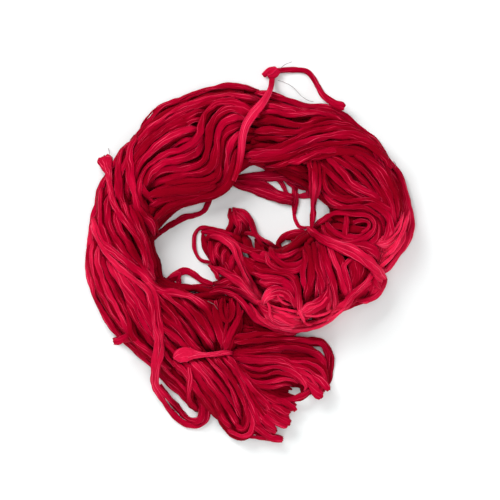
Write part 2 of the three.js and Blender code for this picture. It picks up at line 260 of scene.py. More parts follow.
class Settling:
    """Presses the laid pile to the height of the solid skein, smoothly, so that its own relief stays."""

    STEP = 3
    SPREAD = 2.6
    COUNTED_FROM = 2
    PRESS = (0.4, 1.8)

    def __init__(self, pile):
        skein = bpy.data.objects["skein"].data
        faces = [tuple(face.vertices) for face in skein.polygons]
        tree = BVHTree.FromPolygons([v.co for v in skein.vertices], faces)
        self.low = pile.LOW
        stacked = pile.top[::self.STEP, ::self.STEP]
        solid = np.zeros(stacked.shape)
        for i, j in np.ndindex(solid.shape):
            x, y = self.low + self.STEP * np.array([i, j])
            hit = tree.ray_cast(Vector(metres((x, y, 100))), Vector((0, 0, -1)))[0]
            solid[i, j] = 0 if hit is None else hit.z / MM
        both = (solid > self.COUNTED_FROM) & (stacked > self.COUNTED_FROM)
        ratio = blurred(solid * both, self.SPREAD) / (blurred(stacked * both, self.SPREAD) + 1e-3)
        near = blurred(both * 1.0, self.SPREAD)
        self.factor = np.where(near > 1e-2, np.clip(ratio, *self.PRESS), 1.0)

    def top(self, pile, xy, width):
        """How high the pressed pile is below a ribbon."""
        return self(np.column_stack((xy, pile.under(xy, width).max(axis=0))))[:, 2]

    def __call__(self, points):
        """The points with their heights pressed."""
        at = (points[:, :2] - self.low) / self.STEP
        cell = np.clip(np.floor(at).astype(int), 0, np.array(self.factor.shape) - 2)
        i, j = cell.T
        u, v = np.clip(at - cell, 0, 1).T
        f = self.factor
        near, far = f[i, j] * (1 - u) + f[i + 1, j] * u, f[i, j + 1] * (1 - u) + f[i + 1, j + 1] * u
        height = points[:, 2] * (near * (1 - v) + far * v)
        over = TOP_ROOM * np.tanh(np.maximum(0, height - SOFT_TOP) / TOP_SOFTNESS)
        settled = points.copy()
        settled[:, 2] = np.maximum(LOWEST, np.minimum(height, SOFT_TOP) + over)
        return settled


def folded_section(rng, count, step, edges, width, thickness, wander):
    """A ribbon's section at each place: how far across and up each point is, and how much of an edge.

    Broad soft lobes lie between thin cloth edges; each edge wanders, fades in and out, and has a
    deep crease on one side. The first edges are spread over the top, the last is beneath.
    """
    rest = np.concatenate((np.linspace(0.06, 0.94, edges - 1) * np.pi, [1.5 * np.pi]))
    middles = [at + EDGE_DRIFT * np.pi / edges * wave(rng, count, step, EDGE_BENDS) for at in rest]
    wide = 0.5 * width * (1 + wander * wave(rng, count, step, WIDTH_BENDS))
    thick = 0.5 * thickness * (1 + 0.14 * wave(rng, count, step, THICKNESS_BENDS))
    spread = np.minimum(EDGE_HALF_WIDTH / wide, 0.12)
    angle = np.empty((count, FOLD_POINTS * edges))
    radius = np.empty(angle.shape)
    crest = np.zeros(angle.shape)
    for k in range(edges):
        after = middles[(k + 1) % edges] + (2 * np.pi if k == edges - 1 else 0)
        shown = np.clip(0.45 + 0.65 * wave(rng, count, step, rng.uniform(*SHOWN_BENDS)), 0, 1)
        base = 0.9 + 0.12 * wave(rng, count, step, BASE_BENDS)
        left, top, right, *lobe = range(FOLD_POINTS * k, FOLD_POINTS * (k + 1))
        creased, plain = (left, right) if rng.random() < 0.5 else (right, left)
        angle[:, left] = middles[k] - spread
        angle[:, top] = middles[k]
        angle[:, right] = middles[k] + spread
        radius[:, creased] = base - CREASE_DEPTH * shown
        radius[:, top] = base + EDGE_HEIGHT * shown
        radius[:, plain] = base - 0.06 * shown
        crest[:, top] = shown
        for part, column in zip(LOBE_PARTS, lobe):
            angle[:, column] = middles[k] + spread + part * (after - middles[k] - 2 * spread)
            swell = 0.15 * wave(rng, count, step, rng.uniform(*LOBE_BENDS))
            radius[:, column] = 0.98 + (swell + 0.05 * wave(rng, count, step, FINE_BENDS))
    across = np.cos(angle) * wide[:, None] * (0.6 + 0.4 * radius)
    return across, np.sin(angle) * thick[:, None] * radius, crest


def fray_end(rng, rings, ahead, fray):
    """Rounds a cut end and pulls its threads out by uneven lengths."""
    pulled = rng.uniform(-fray, fray, rings.shape[1])
    pulled = (np.roll(pulled, 1) + pulled + np.roll(pulled, -1)) / 2
    for back, part, share in ((-1, 0.62, 1.0), (-2, 0.9, 0.4)):
        middle = rings[back].mean(axis=0)
        rings[back] = middle + part * (rings[back] - middle) + share * pulled[:, None] * ahead


class Yarn:
    """Gathers ribbons and makes one mesh of them, with a coordinate along and across each."""

    def __init__(self, name, folds):
        self.name = name
        self.folds = folds
        self.points = []
        self.crests = []
        self.fans = []
        self.fan_along = []
        self.faces = []
        self.along = []
        self.tones = []
        self.count = 0

    def ribbon(self, path, width, thickness, rng, tone=0.0, twist=0.4, fray=0.0, wander=0.16):
        """One crumpled ribbon along a path, whose columns are x, y, z and the slope to its left."""
        path, lean = path[:, :3], np.arctan(path[:, 3])
        n = len(path)
        step = np.linalg.norm(path[1] - path[0])
        heading = heading_of(path)
        side = np.column_stack((-heading[:, 1], heading[:, 0], np.zeros(n)))
        side /= np.linalg.norm(side, axis=1)[:, None] + TINY
        up = np.cross(heading, side)
        turn = lean + twist * wave(rng, n, step, rng.uniform(*TWIST_BENDS))
        a, b, crest = folded_section(rng, n, step, self.folds, width, thickness, wander)
        c, s = np.cos(turn)[:, None], np.sin(turn)[:, None]
        rings = path[:, None] + (a * c - b * s)[..., None] * side[:, None]
        rings = rings + (a * s + b * c)[..., None] * up[:, None]
        if fray:
            fray_end(rng, rings, heading[-1], fray)
        rings[..., 2] = np.maximum(rings[..., 2], LOWEST)
        first = self.count
        start = rng.uniform(0, 500)
        # The ribbon's tone plus the painted shade and painted highlight of its place
        tones = tone + painted_light_and_dye(path)
        self.points.append(rings.reshape(-1, 3))
        self.crests.append(crest.reshape(-1))
        self.tones.append(np.repeat(tones, rings.shape[1]))
        self.count += n * rings.shape[1]
        self.skin(first, n, rings.shape[1], step, start, np.clip(np.mean(width) / RIBBON_WIDTH, *FINENESS))
        for at, order in ((0, -1), (n - 1, 1)):
            self.cap(first + at * rings.shape[1], rings[at], order, start, tones[at])

    def skin(self, first, n, sides, step, start, fineness):
        """The faces between a ribbon's rings, and where each lies across and along the cloth."""
        corner = np.arange(sides)
        row = first + sides * np.arange(n - 1)[:, None]
        here, beside = row + corner, row + (corner + 1) % sides
        self.faces.append(np.stack((here, beside, beside + sides, here + sides), axis=-1).reshape(-1, 4))
        run = step * np.arange(n)
        u = np.stack((corner, corner + 1, corner + 1, corner), axis=-1) / sides
        v = np.stack((run[:-1], run[:-1], run[1:], run[1:]), axis=-1)
        uv = np.empty((n - 1, sides, 4, 2))
        uv[..., 0] = u[None] * fineness
        uv[..., 1] = v[:, None] / PATTERN_LENGTH + start
        self.along.append(uv.reshape(-1, 2))

    def cap(self, first, ring, order, start, tone):
        """Closes a ribbon's end with a fan of three-cornered faces round its middle."""
        sides = len(ring)
        middle = self.count
        self.points.append(ring.mean(axis=0)[None])
        self.crests.append(np.array([0.5]))
        self.tones.append(np.array([tone]))
        self.count += 1
        corners = np.arange(sides)
        fan = np.column_stack((np.full(sides, middle), first + corners, first + (corners + 1) % sides))
        self.fans.append(fan[:, ::-1] if order < 0 else fan)
        self.fan_along.append(np.tile((0.5, start), (3 * sides, 1)))

    def mesh(self, settle, material, replaces="skein", slot="silk"):
        """The gathered ribbons as one piece that stands for a CAD node."""
        points = np.vstack(self.points)
        if settle is not None:
            points = settle(points)
        points[:, :2] -= LAYOUT_CENTRE
        faces = np.vstack(self.faces)
        fans = np.vstack(self.fans)
        corners = np.concatenate((faces.ravel(), fans.ravel())).astype(np.int32)
        starts = np.concatenate((np.arange(0, faces.size, 4), faces.size + np.arange(0, fans.size, 3)))
        mesh = bpy.data.meshes.new(self.name)
        mesh.vertices.add(len(points))
        mesh.vertices.foreach_set("co", (points * MM).ravel())
        mesh.loops.add(len(corners))
        mesh.loops.foreach_set("vertex_index", corners)
        mesh.polygons.add(len(starts))
        mesh.polygons.foreach_set("loop_start", starts.astype(np.int32))
        mesh.update(calc_edges=True)
        mesh.polygons.foreach_set("use_smooth", np.ones(len(starts), bool))
        layer = mesh.uv_layers.new(name="UVMap")
        layer.data.foreach_set("uv", np.vstack(self.along + self.fan_along).ravel())
        for name, values in (("tone", self.tones), ("crest", self.crests)):
            held = mesh.attributes.new(name, "FLOAT", "POINT")
            held.data.foreach_set("value", np.concatenate(values))
        mesh.validate()
        piece = bpy.data.objects.new(self.name, mesh)
        bpy.context.scene.collection.objects.link(piece)
        piece.data.materials.append(material)
        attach(piece, "root")
        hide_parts(replaces)
        return piece


# Turns that lie lowest. Each route is its width and then its points, x and y in the layout.
UNDER = (
    (5, (-82, 9), (-76.4, 14), (-68, 20.5), (-60, 26), (-52, 29.5), (-46, 30.5), (-40, 33), (-36, 37),
     (-33, 43), (-31, 49)),
    (5, (-76, -23), (-68, -22), (-62, -17.8), (-55, -14.8), (-50, -15), (-45, -17.3), (-40, -20.8),
     (-35, -23.6), (-27, -25)),
    (4.5, (-66, -26), (-54, -27), (-46, -27.5), (-38, -27), (-28, -27)),
    (3.4, (-26, 16), (-33, 20.8), (-40, 21), (-44, 17.5), (-45.8, 11), (-45, 4), (-43, -1.6), (-39.2, -6),
     (-34, -7.4), (-27, -8)),
    (5, (48, 17), (41, 17.3), (34, 16.5), (27.3, 13.6), (23.3, 9.8), (23.2, 6), (27, 2.6), (34, 1), (42, 2)),
    (6, (48, 12), (40, 12.8), (34, 13), (28.5, 12)),
    (6, (48, 7), (41, 8.5), (36, 9)),
    (3, (24, 72), (31, 66), (35.5, 60), (37.2, 54), (37, 48.5), (35.8, 43), (35.1, 37), (35, 31), (36.4, 26),
     (39.2, 21.7), (43.5, 20.9), (48, 21.3), (52, 19.5)),
    (5, (35, 46), (42, 46.4), (48, 47), (56, 49)),
    (4, (33, 58), (34.5, 52), (34.5, 46), (34.8, 40)),
    (4, (4, 71.6), (9, 70.4), (14, 68.4), (20, 66.4)),
    (5, (46, 9.8), (39, 10.6), (32.5, 10.6)),
    (3.4, (48, 60), (50.4, 50), (51.4, 42), (51.3, 34), (50.2, 25), (48.6, 18)),
    (4.5, (46, 53), (53, 48.5), (59, 44), (64.5, 39.5), (72, 36)),
    (4, (47, 19), (53, 22), (58, 25), (64, 28)),
    (3.4, (38.4, 49), (37.8, 43.5), (36.8, 38), (36.2, 32)),
    (4.5, (26, 60.5), (31, 56), (35, 51)),
    (4, (30, 62), (37, 55), (43, 53), (50, 52.6), (58, 56)),
    (4.4, (45.4, 64), (45.8, 58), (45.8, 52), (46, 46.8)),
    (4, (14, 64), (22, 59.5), (27.5, 53.5), (31.5, 48), (34.5, 42)),
    (3, (48, 76), (49.5, 68), (50, 59), (49.8, 52), (49.8, 45), (49.8, 38), (49.6, 31), (49.5, 24),
     (48, 16)),
    (6, (-70, -25), (-64, -21.5), (-59, -19.5), (-58, -25), (-64, -28)),
    (5, (-66, -20), (-61, -17), (-57, -16.5), (-58, -22)),
)

# The tie's wide sheer part, fanned out below the turns of the top
SHEER = (
    (10, (-14, 60), (-7, 61.2), (2, 61.8), (12, 62.6), (24, 62.3), (36, 60), (46, 58)),
    (9, (-14, 58), (-7, 57), (3, 56), (11, 55.5), (19, 52), (26, 48), (34, 44.5)),
    (8.5, (-14, 57), (-8, 54), (0, 52), (10, 49), (21, 45), (34, 42)),
)

# The turns that show, in the order that they lie: later ones lie over earlier ones
SEEN = {
    "rim": (
        (6, (2.5, 130.5), (14.5, 127.8), (27.5, 123.8), (40, 120), (53, 118.5), (64.5, 117), (76, 111),
         (85.5, 102.6), (92.8, 96.2), (100, 91.4), (105.4, 83.9), (109.8, 77.4), (115.8, 69.4), (121.8, 60),
         (124.4, 50.8), (126.8, 40.7), (128.8, 30), (129.2, 20), (125.4, 7.3), (116.8, -3.8), (110.4, -12),
         (106, -17)),
        (5, (20.5, 120.5), (34.5, 116), (48, 114.5), (60.5, 114), (71, 108), (81, 99), (91, 91), (99, 83),
         (106, 74), (113, 63.5), (118.5, 53.5), (121.5, 42.5), (124, 30), (123.5, 18)),
        (6, (6.5, 131), (-6, 134), (-20, 134.6), (-34.5, 132), (-47.2, 127.2), (-59.6, 122.8), (-71, 118),
         (-79.4, 109.6), (-86.4, 100), (-93, 92), (-100, 85.5), (-107.4, 75.8), (-114.6, 64.4), (-120, 53),
         (-124, 38.5), (-127.5, 24), (-129, 10), (-128.5, -4)),
        (5, (-30.5, 125.5), (-46.5, 120.5), (-60.5, 115), (-73, 107), (-83, 97), (-93, 86), (-101, 76),
         (-108, 63.5), (-114.5, 50.5), (-119.5, 36.5), (-123, 22.5), (-125, 8)),
        (6, (-129.4, 10), (-130, -8), (-128.8, -22), (-125.4, -34), (-119.7, -45.3), (-114, -55.5),
         (-107, -64.3), (-99, -72.3), (-90, -80.3), (-82, -88.6), (-72.6, -98), (-60, -109.5),
         (-49.5, -120.5), (-42, -127.5)),
        (5, (-125.5, 8), (-125.5, -8), (-122.5, -22.5), (-117.5, -34.5), (-111, -46), (-104, -55),
         (-97, -63), (-89, -71), (-81, -79), (-72, -88), (-61, -99)),
        (2, (-90, 98.5), (-85.6, 105.5), (-81, 112), (-75, 117.3), (-66, 121)),
        (2.2, (100, 92), (105, 84), (108, 78), (113, 73)),
        (3, (-66, 119), (-57, 124), (-48, 128), (-38, 131.5), (-26, 134)),
    ),
    "top_right": (
        (5, (10, 119), (25, 115.5), (40, 112.5), (55, 110.5), (66, 106), (77, 97), (88, 88), (98, 77),
         (107, 65), (113, 51), (117.5, 38), (119, 25)),
        (5, (8, 112), (20, 112.5), (33, 110.5), (46, 112), (58, 111.5), (70, 106.5), (82, 97), (93, 86),
         (103, 73), (110, 59), (115, 46), (117, 32)),
        (6, (4, 104), (18, 105.5), (30, 103.5), (42, 102.5), (54, 106), (66, 106), (78, 100), (90, 90),
         (101, 79)),
        (5.5, (3, 97), (16, 97.5), (29, 96.5), (40, 97), (52, 101), (64, 103.5), (76, 102), (88, 95),
         (98, 85)),
        (5, (2, 91), (14, 92), (24, 91), (34, 90)),
        (6.5, (-1, 81), (10, 82), (20, 83), (30, 87.5), (40, 92.5), (50, 97), (62, 99.5), (75, 99), (86, 96),
         (97, 88), (106, 77)),
        (6, (-3, 77.6), (10, 78.6), (22, 79.5), (33, 83.5), (44, 88.5), (56, 92), (70, 94), (84, 93.5),
         (96, 87.5), (106, 75)),
        (5.5, (-1, 74), (12, 74.8), (24, 76), (35, 79), (46, 83.5), (58, 86.5), (70, 87), (82, 89),
         (94, 86.5), (104, 79), (112, 68)),
        (5.5, (12, 69.5), (24, 71), (36, 75), (45, 79.5), (55, 82), (66, 83), (78, 85), (90, 82), (100, 74)),
    ),
    "right_fill": (
        (5.5, (28, 69), (37, 68.6), (46, 67.5), (55, 66)),
        (6, (60, 62), (65, 55.5), (72, 50.5), (81, 47), (92, 44)),
        (6, (62, 72), (68, 64), (76, 58), (85, 53), (95, 48)),
        (6, (70, 74), (77, 66), (85, 59), (93, 53), (101, 46)),
        (6, (84, 78), (93, 70), (99, 62), (104, 53), (109, 43)),
    ),
    "right": (
        (6, (50, 77), (58, 69), (66, 61), (74, 54), (82, 49), (92, 45), (101, 42), (109, 36), (114, 27),
         (115, 15)),
        (5.5, (56, 79), (66, 76), (76, 71), (84, 64), (91, 57), (98, 49), (104, 41), (110, 33), (113, 22)),
        (6, (42, 73), (52, 77), (64, 80), (76, 81), (88, 79), (98, 72), (106, 62), (112, 51), (116, 40),
         (117, 27)),
        (5.5, (60, 77), (68, 70), (74, 63), (80, 56), (88, 51), (97, 46.5), (106, 39)),
        (5.5, (70, 79), (80, 74), (88, 68), (95, 60), (101, 52), (107, 43), (111, 31)),
        (5.5, (80, 80), (90, 74), (98, 66), (104, 57), (109, 47), (113, 36), (114, 24)),
        (5, (58, 72), (58, 60), (61, 51), (67, 45), (76, 42), (88, 43), (98, 42), (108, 37), (115, 30)),
        (4.5, (57, 50), (61, 44.5), (66, 40), (72, 37.8), (80, 37.5), (90, 37.5), (99, 35.5), (107, 29),
         (111, 20)),
    ),
    "crossing": (
        (4.5, (45, 80), (47.5, 70), (48.2, 62), (48.4, 54), (49, 47), (50, 40)),
        (4.5, (54, 74), (54.6, 66), (54.6, 58), (54, 51), (52.4, 44), (50.8, 37)),
        (4.5, (50.5, 76), (51.6, 68), (52, 60), (51.8, 52), (50.8, 45), (50.2, 38)),
        (3.4, (49, 74), (50, 64), (50.4, 54), (50.4, 45), (50, 37), (49.6, 29), (48.6, 22), (46, 15)),
        (5, (28, 71.4), (37, 73.4), (45, 76.6), (53, 79.8), (62, 82), (73, 83.5)),
    ),
    "top_left": (
        (4.5, (-44, 95.5), (-52, 96), (-60, 92.5), (-68, 87), (-76, 80)),
        (4.5, (-42, 90), (-50, 90.5), (-58, 87), (-67, 82)),
        (5, (-36, 108), (-44, 106), (-52, 102), (-60, 97)),
        (5, (-37, 100), (-40, 92), (-46, 85), (-54, 81), (-63, 79)),
        (5, (-36, 92), (-39, 85), (-44, 79), (-52, 76), (-61, 74)),
        (5, (6, 122), (-15, 126), (-35, 123), (-52, 117.5), (-66, 110.5), (-78, 102), (-88, 91), (-96, 79),
         (-102, 67), (-106, 54), (-109, 42)),
        (5.5, (-6, 124), (-20, 122), (-40, 118), (-56, 111), (-70, 103), (-82, 93), (-90, 83), (-96, 73),
         (-99, 62)),
        (5, (-35, 115), (-50, 109), (-64, 102), (-76, 94), (-86, 84), (-93, 74), (-97, 64), (-98, 52),
         (-96, 42)),
        (5, (-46, 105), (-57, 103), (-68, 98), (-78, 91), (-87, 82), (-93, 72), (-96, 61)),
        (5, (-41, 98), (-50, 99), (-60, 95), (-70, 89), (-79, 82), (-86, 74), (-91, 65), (-93, 55)),
        (5.5, (-6, 98), (-12, 93), (-17, 85), (-18, 75), (-18.5, 66), (-21, 58), (-27, 52.5), (-36, 49.5),
         (-48, 47.5), (-60, 45), (-72, 42), (-82, 37)),
        (5.5, (-8, 86), (-12, 79), (-14.5, 69), (-16, 61), (-20, 54), (-28, 48.5), (-38, 45.5), (-52, 42.5),
         (-63, 38.5), (-72, 32), (-79, 24)),
        (5.5, (-5, 103), (-12, 101), (-20, 96), (-24, 88), (-25, 79), (-25, 70), (-27, 62), (-33, 57),
         (-42, 55), (-54, 53.5), (-66, 52), (-78, 49)),
        (6, (-2, 106), (-10, 109), (-18, 106.5), (-24, 100), (-26.5, 91), (-27.5, 81), (-29, 72), (-35, 66),
         (-46, 62.5), (-58, 61), (-70, 58), (-80, 53)),
        (6, (2, 108), (-6, 113), (-13, 115.5), (-20, 114), (-27, 108.5), (-31.5, 101), (-33.5, 92),
         (-34, 82), (-37, 74), (-45, 69.5), (-57, 68), (-68, 66.5), (-78, 61), (-84, 52)),
        (5.5, (-23, 69), (-28, 62.5), (-36, 59), (-47, 58), (-60, 56.5), (-72, 54)),
        (5.5, (-90, 62), (-86, 52), (-80, 44), (-74, 37)),
        (6, (-84, 44), (-74, 48), (-62, 49.3), (-50, 50), (-38, 51.5), (-28, 54.5)),
        (5.5, (-40, 83), (-48, 78), (-58, 74.5), (-68, 72), (-77, 67), (-83, 59), (-85, 49)),
        (5.5, (8, 109), (0, 113), (-10, 119), (-20, 120.5), (-29, 118), (-36, 111.5), (-39, 103), (-41, 95),
         (-46, 88), (-55, 83), (-65, 80), (-75, 75), (-83, 67.5), (-88, 58), (-89, 48), (-86, 39),
         (-80, 31)),
        (6, (-91.5, 94), (-95.4, 84.5), (-96.5, 73), (-95, 61), (-92.5, 49), (-90, 38), (-86, 30), (-80, 24),
         (-77, 15)),
        (5, (-103, 84), (-105, 72), (-105, 60), (-104, 48), (-100, 37), (-95, 27), (-90, 17), (-86, 7),
         (-84, -4), (-81, -14)),
    ),
    "gap_fill": (
        (7, (-12, -43), (-6, -49), (-2, -56), (1, -65)),
        (7, (-16, -45), (-9, -50), (-4, -58), (-3, -68)),
        (7, (-58, -34), (-48, -43), (-40, -51), (-33, -61), (-27, -71)),
        (7, (-31, -33), (-24, -35), (-14, -38), (-5, -44)),
        (7, (-40, -38), (-30, -40), (-20, -45), (-12, -51), (-8, -60)),
        (7, (-30, -42), (-27, -54), (-23, -66), (-20, -76)),
        (7, (-22, -40), (-19, -50), (-17, -60), (-16, -72)),
        (7, (-12, -44), (-12, -54), (-14, -64), (-16, -74)),
        (7, (-8, -42), (0, -50), (6, -58), (12, -64)),
        (7, (-14, -56), (-4, -60), (8, -63), (20, -65), (32, -65)),
        (7, (-12, -62), (0, -64), (14, -67), (28, -68)),
    ),
    "left": (
        (5, (-101, 42), (-97, 31), (-92, 20), (-87, 9), (-82, -2), (-80, -12), (-76, -20)),
        (5, (-96, 38), (-91, 27), (-87, 17), (-83, 7), (-80.5, -4), (-78, -14)),
        (5, (-119, 52), (-120, 38), (-119, 24), (-115, 12), (-109, 1), (-101, -7), (-92, -14), (-84, -21)),
        (5, (-113, 46), (-114, 34), (-112, 22), (-107, 11), (-101, 2), (-94, -6), (-86, -13), (-79, -21)),
        (5, (-108, 36), (-106, 25), (-101, 14), (-95, 4), (-89, -5), (-83, -13), (-77, -22)),
        (5, (-126, 10), (-127, -7), (-123, -22), (-118, -34), (-112, -45), (-105, -55), (-98, -63),
         (-90, -71), (-82, -79), (-73, -88), (-62, -99), (-52, -110), (-45, -120)),
        (5.5, (-122, 6), (-121, -9), (-117, -22), (-112, -33), (-107, -43), (-102, -52), (-98, -61),
         (-92, -69), (-84, -76), (-75, -84), (-64, -93)),
        (5.5, (-119, 0), (-115, -13), (-110, -25), (-104, -36), (-99, -47), (-96.5, -57), (-94, -66),
         (-88, -74)),
        (5.5, (-114, -4), (-108, -15), (-102, -26), (-96, -36), (-91, -46), (-85, -56), (-79, -65),
         (-72, -74)),
        (5.5, (-108, -8), (-101, -19), (-94, -30), (-88, -40), (-82, -50), (-76, -60), (-69, -69),
         (-62, -78)),
        (5, (-101, -12), (-94, -22), (-87, -32), (-81, -42), (-75, -52), (-68, -61), (-60, -69), (-52, -77)),
        (5.5, (-126, 28), (-121, 16), (-114, 6), (-106, -1), (-98, -7), (-90, -13), (-82, -20), (-76, -27),
         (-68, -31), (-60, -31.5), (-50, -33.5), (-42, -38), (-35, -45), (-29, -55), (-25, -66), (-22, -77)),
        (5.5, (-56, -36), (-47, -45), (-40, -52), (-34, -60), (-28, -70)),
        (5.5, (-62, -46), (-54, -54), (-47, -63), (-40, -73)),
        (5, (-100, -38), (-94, -49), (-88, -59), (-81, -68), (-73, -78)),
        (5, (-74, -73), (-67, -82), (-59, -92), (-52, -101)),
        (5.5, (-80, -26), (-73, -36), (-65, -46), (-58, -56), (-51, -67), (-45, -78)),
        (5.5, (-74, -29), (-65, -35), (-57, -42), (-49, -50), (-42, -59), (-35, -69), (-29, -78)),
        (5.5, (-77, -43), (-69, -51), (-61, -58), (-53, -66), (-45, -74), (-38, -81)),
        (5, (-78, -52), (-70, -59), (-62, -65), (-54, -72), (-46, -79)),
        (5, (-76, -66), (-68, -72), (-60, -80), (-50, -90), (-42, -100), (-36, -110)),
        (5, (-82, -60), (-75, -68), (-70, -78)),
        (5, (-28, -38), (-27, -48), (-24, -58), (-21, -68), (-19, -78)),
        (4, (-18, -40), (-18.5, -48), (-19.5, -58), (-20, -70), (-20, -80)),
        (3.2, (-23, -36), (-23.6, -45), (-21.8, -52), (-18, -54.6), (-14.8, -51), (-14, -44), (-15, -36)),
        (5, (-10, -38), (-9.5, -49), (-11.5, -60), (-15.5, -71), (-18, -80)),
        (5, (-6, -46), (-12, -56), (-17, -66), (-20, -77)),
    ),
    "loop": (
        (5, (-73, -106), (-66.5, -116), (-60.5, -123.6), (-54.5, -130.5), (-48, -135.6)),
        (5.5, (-126.8, 26.8), (-122.8, 14.8), (-116.4, 2.8), (-108.4, -6.8), (-100.4, -13.2), (-92.4, -20.4),
         (-84.4, -26.8), (-80.4, -31.6), (-78.8, -37.2), (-78, -45.2), (-77.2, -53.2), (-75.6, -61.2),
         (-74, -67.6), (-74, -74), (-75.6, -80.4), (-77.4, -86.8), (-77.6, -96), (-77.4, -104),
         (-74.4, -112), (-69.6, -120.2), (-63.8, -128.2), (-55.8, -135.4), (-48.4, -138.8), (-41, -138.6),
         (-36.4, -134.6), (-34.6, -127), (-36, -117), (-40, -105), (-43.6, -93)),
        (4.6, (-88, -18), (-82, -23), (-76, -31), (-74, -39), (-73, -48), (-72, -57), (-70.5, -66),
         (-70, -75), (-71.5, -83), (-74, -90), (-75, -98), (-74.4, -105), (-70.8, -111), (-65, -117),
         (-59, -123.6), (-53.5, -130), (-48.5, -133.8), (-43.5, -134.6), (-40.2, -131), (-40.4, -121),
         (-43.4, -110), (-47.4, -99)),
        (4, (-49, -136.5), (-43, -136), (-38.6, -131), (-38.2, -122), (-41, -111), (-45, -100)),
    ),
    "fan_fill": (
        (7, (-10, -72), (10, -70), (30, -70.4), (45, -70.6), (55, -72), (61.5, -77.5), (63.5, -86),
         (62, -96)),
        (7, (-10, -80), (10, -81), (30, -82), (44, -83.5), (53, -87), (57, -95), (56, -104)),
        (7, (-8, -88), (10, -90), (26, -93), (40, -98), (50, -106)),
        (7, (-6, -86), (12, -86), (30, -88), (44, -93), (53, -101)),
        (7, (-6, -96), (10, -99), (24, -100), (36, -103)),
        (7, (0, -104), (12, -107), (24, -107)),
        (6, (0, -108), (12, -110), (22, -110.6), (30.5, -111)),
        (6.4, (10, -104), (20, -104.4), (30, -104.8), (38, -105.8), (46, -109), (49, -114)),
        (5, (44, -101), (42.5, -106), (42, -111), (43, -115)),
        (5, (8, -112), (18, -113), (26, -113.8), (36, -115)),
        (4, (46, -71.8), (52, -73.2), (57, -74), (61, -78)),
        (4.5, (38, -73.6), (44, -75), (49.6, -77), (53, -80.6), (56, -84)),
        (5, (-4, -142), (3, -144.6), (10, -146), (18, -147)),
        (6, (2, -112), (14, -117), (26, -118.5), (38, -116)),
        (7, (-2, -116), (8, -124), (18, -128), (27, -130)),
        (7, (-6, -120), (2, -130), (10, -138), (18, -144)),
        (7, (-8, -126), (-2, -136), (4, -143), (12, -147)),
        (7, (-20, -110), (-12, -122), (-6, -134), (0, -143)),
        (7, (-30, -106), (-24, -118), (-18, -130), (-12, -140)),
        (7, (-40, -100), (-34, -112), (-27, -124), (-20, -135)),
    ),
    "fan_back": (
        (6, (-14, -67), (-2, -65.5), (10, -65), (22, -65.5), (34, -67)),
        (5.5, (30, -68.5), (42, -69.2), (51, -70.2), (57.6, -72.8), (62.2, -78), (65.6, -85), (65, -91),
         (63.5, -97), (63.5, -103), (61, -107.5)),
        (4.5, (-16, -71), (-4, -70), (8, -69.5), (20, -69), (32, -69.3), (43, -70.2), (50, -71), (56, -72.3),
         (60.4, -77.5), (62.3, -86), (61.5, -93), (61.5, -100)),
        (5, (-14, -77.5), (-3, -76), (9, -74.5), (20, -72.5), (32, -73), (42, -74.5), (49, -78), (53.5, -82),
         (57, -87), (59, -93), (60, -101), (58, -107)),
    ),
    "fan": (
        (5, (-16, -79.5), (-3, -78.5), (9, -77.5), (21, -76), (32, -76), (42, -77.2), (49, -79.5),
         (54.8, -82), (58.4, -87), (59.6, -94)),
        (5, (-15, -82), (-3, -82.5), (8, -83), (19, -83.5), (28, -86), (36, -91), (43, -97.5), (49, -104),
         (52.5, -110)),
        (5, (-14, -83.5), (0, -85.5), (12, -85.8), (22, -87), (31, -90.5), (39, -96), (46, -102.5),
         (50, -109)),
        (4.5, (28, -86), (38, -86.6), (47, -88), (54, -91), (58.5, -96), (59.5, -103), (57.5, -109)),
        (4.5, (30, -88.5), (40, -90.5), (48, -94.5), (54, -100), (57, -106), (57, -111)),
        (4.5, (33, -91.5), (41, -94.5), (48, -99.5), (53, -105.5), (55, -112)),
        (4, (-11, -86.5), (-3, -91), (6, -93), (13, -92), (20, -90.5), (28, -92), (35, -96), (41, -101),
         (44.5, -106), (43, -110.5)),
        (4.5, (-12, -87), (-5, -94), (3, -98), (12, -98), (20, -95.5), (28, -96), (36, -100), (41, -105)),
        (4, (-10, -91), (-3, -99), (5, -103), (15, -103.5), (23, -101), (31, -101), (38, -104)),
        (4, (-8, -94), (0, -103), (8, -106.5), (18, -107), (26, -106), (33, -106.5)),
        (5, (4, -109), (12, -113), (21, -117), (30, -117.5), (39, -115.5), (46, -112), (49, -108)),
        (5.5, (-6, -97), (1, -106), (9, -113), (17, -118), (26, -121.5), (34, -124)),
        (5.5, (-8, -99), (-1, -109), (6, -117), (12, -123), (19, -127), (27, -131)),
        (6, (-9, -101), (-2, -112), (4, -121), (11, -129), (19, -134), (27, -137)),
        (5.5, (-10, -103), (-4, -114), (2, -124), (8, -132), (14, -139), (20, -144)),
        (5.5, (-12, -104), (-6, -115), (-1, -126), (5, -135), (11, -142), (17, -148)),
        (5, (-2, -147.2), (6, -148), (14, -149), (24, -149.8)),
        (5, (-62, -86), (-53, -94), (-46, -104), (-39, -115), (-31, -125), (-24, -134)),
        (5, (-56, -84), (-47, -92), (-39, -103), (-31, -114), (-25.2, -126.2), (-19.6, -137), (-13.5, -144)),
        (5, (-50, -84), (-41, -92), (-33, -102), (-25, -113), (-18, -124), (-12, -135), (-8, -141)),
        (5, (-30, -82), (-22, -91), (-15, -101), (-8, -112), (-3, -122), (0.5, -131), (1.8, -138.5),
         (-1.2, -145), (-7.5, -146.9), (-14.2, -143.8), (-19.6, -138.3)),
        (4.5, (-27, -83), (-19, -93), (-13, -103), (-8, -113), (-4, -123), (-2, -132), (-3.5, -139),
         (-8, -140.5), (-12, -136)),
        (5, (-44, -84), (-35, -92), (-27, -101), (-19, -112), (-12, -123), (-7, -134)),
        (4.5, (-36, -82), (-28, -90), (-21, -99), (-15, -109), (-11, -119), (-8, -129)),
        (5, (-22, -82), (-15, -90), (-9, -99), (-4, -109), (0, -119), (4, -129), (8, -138)),
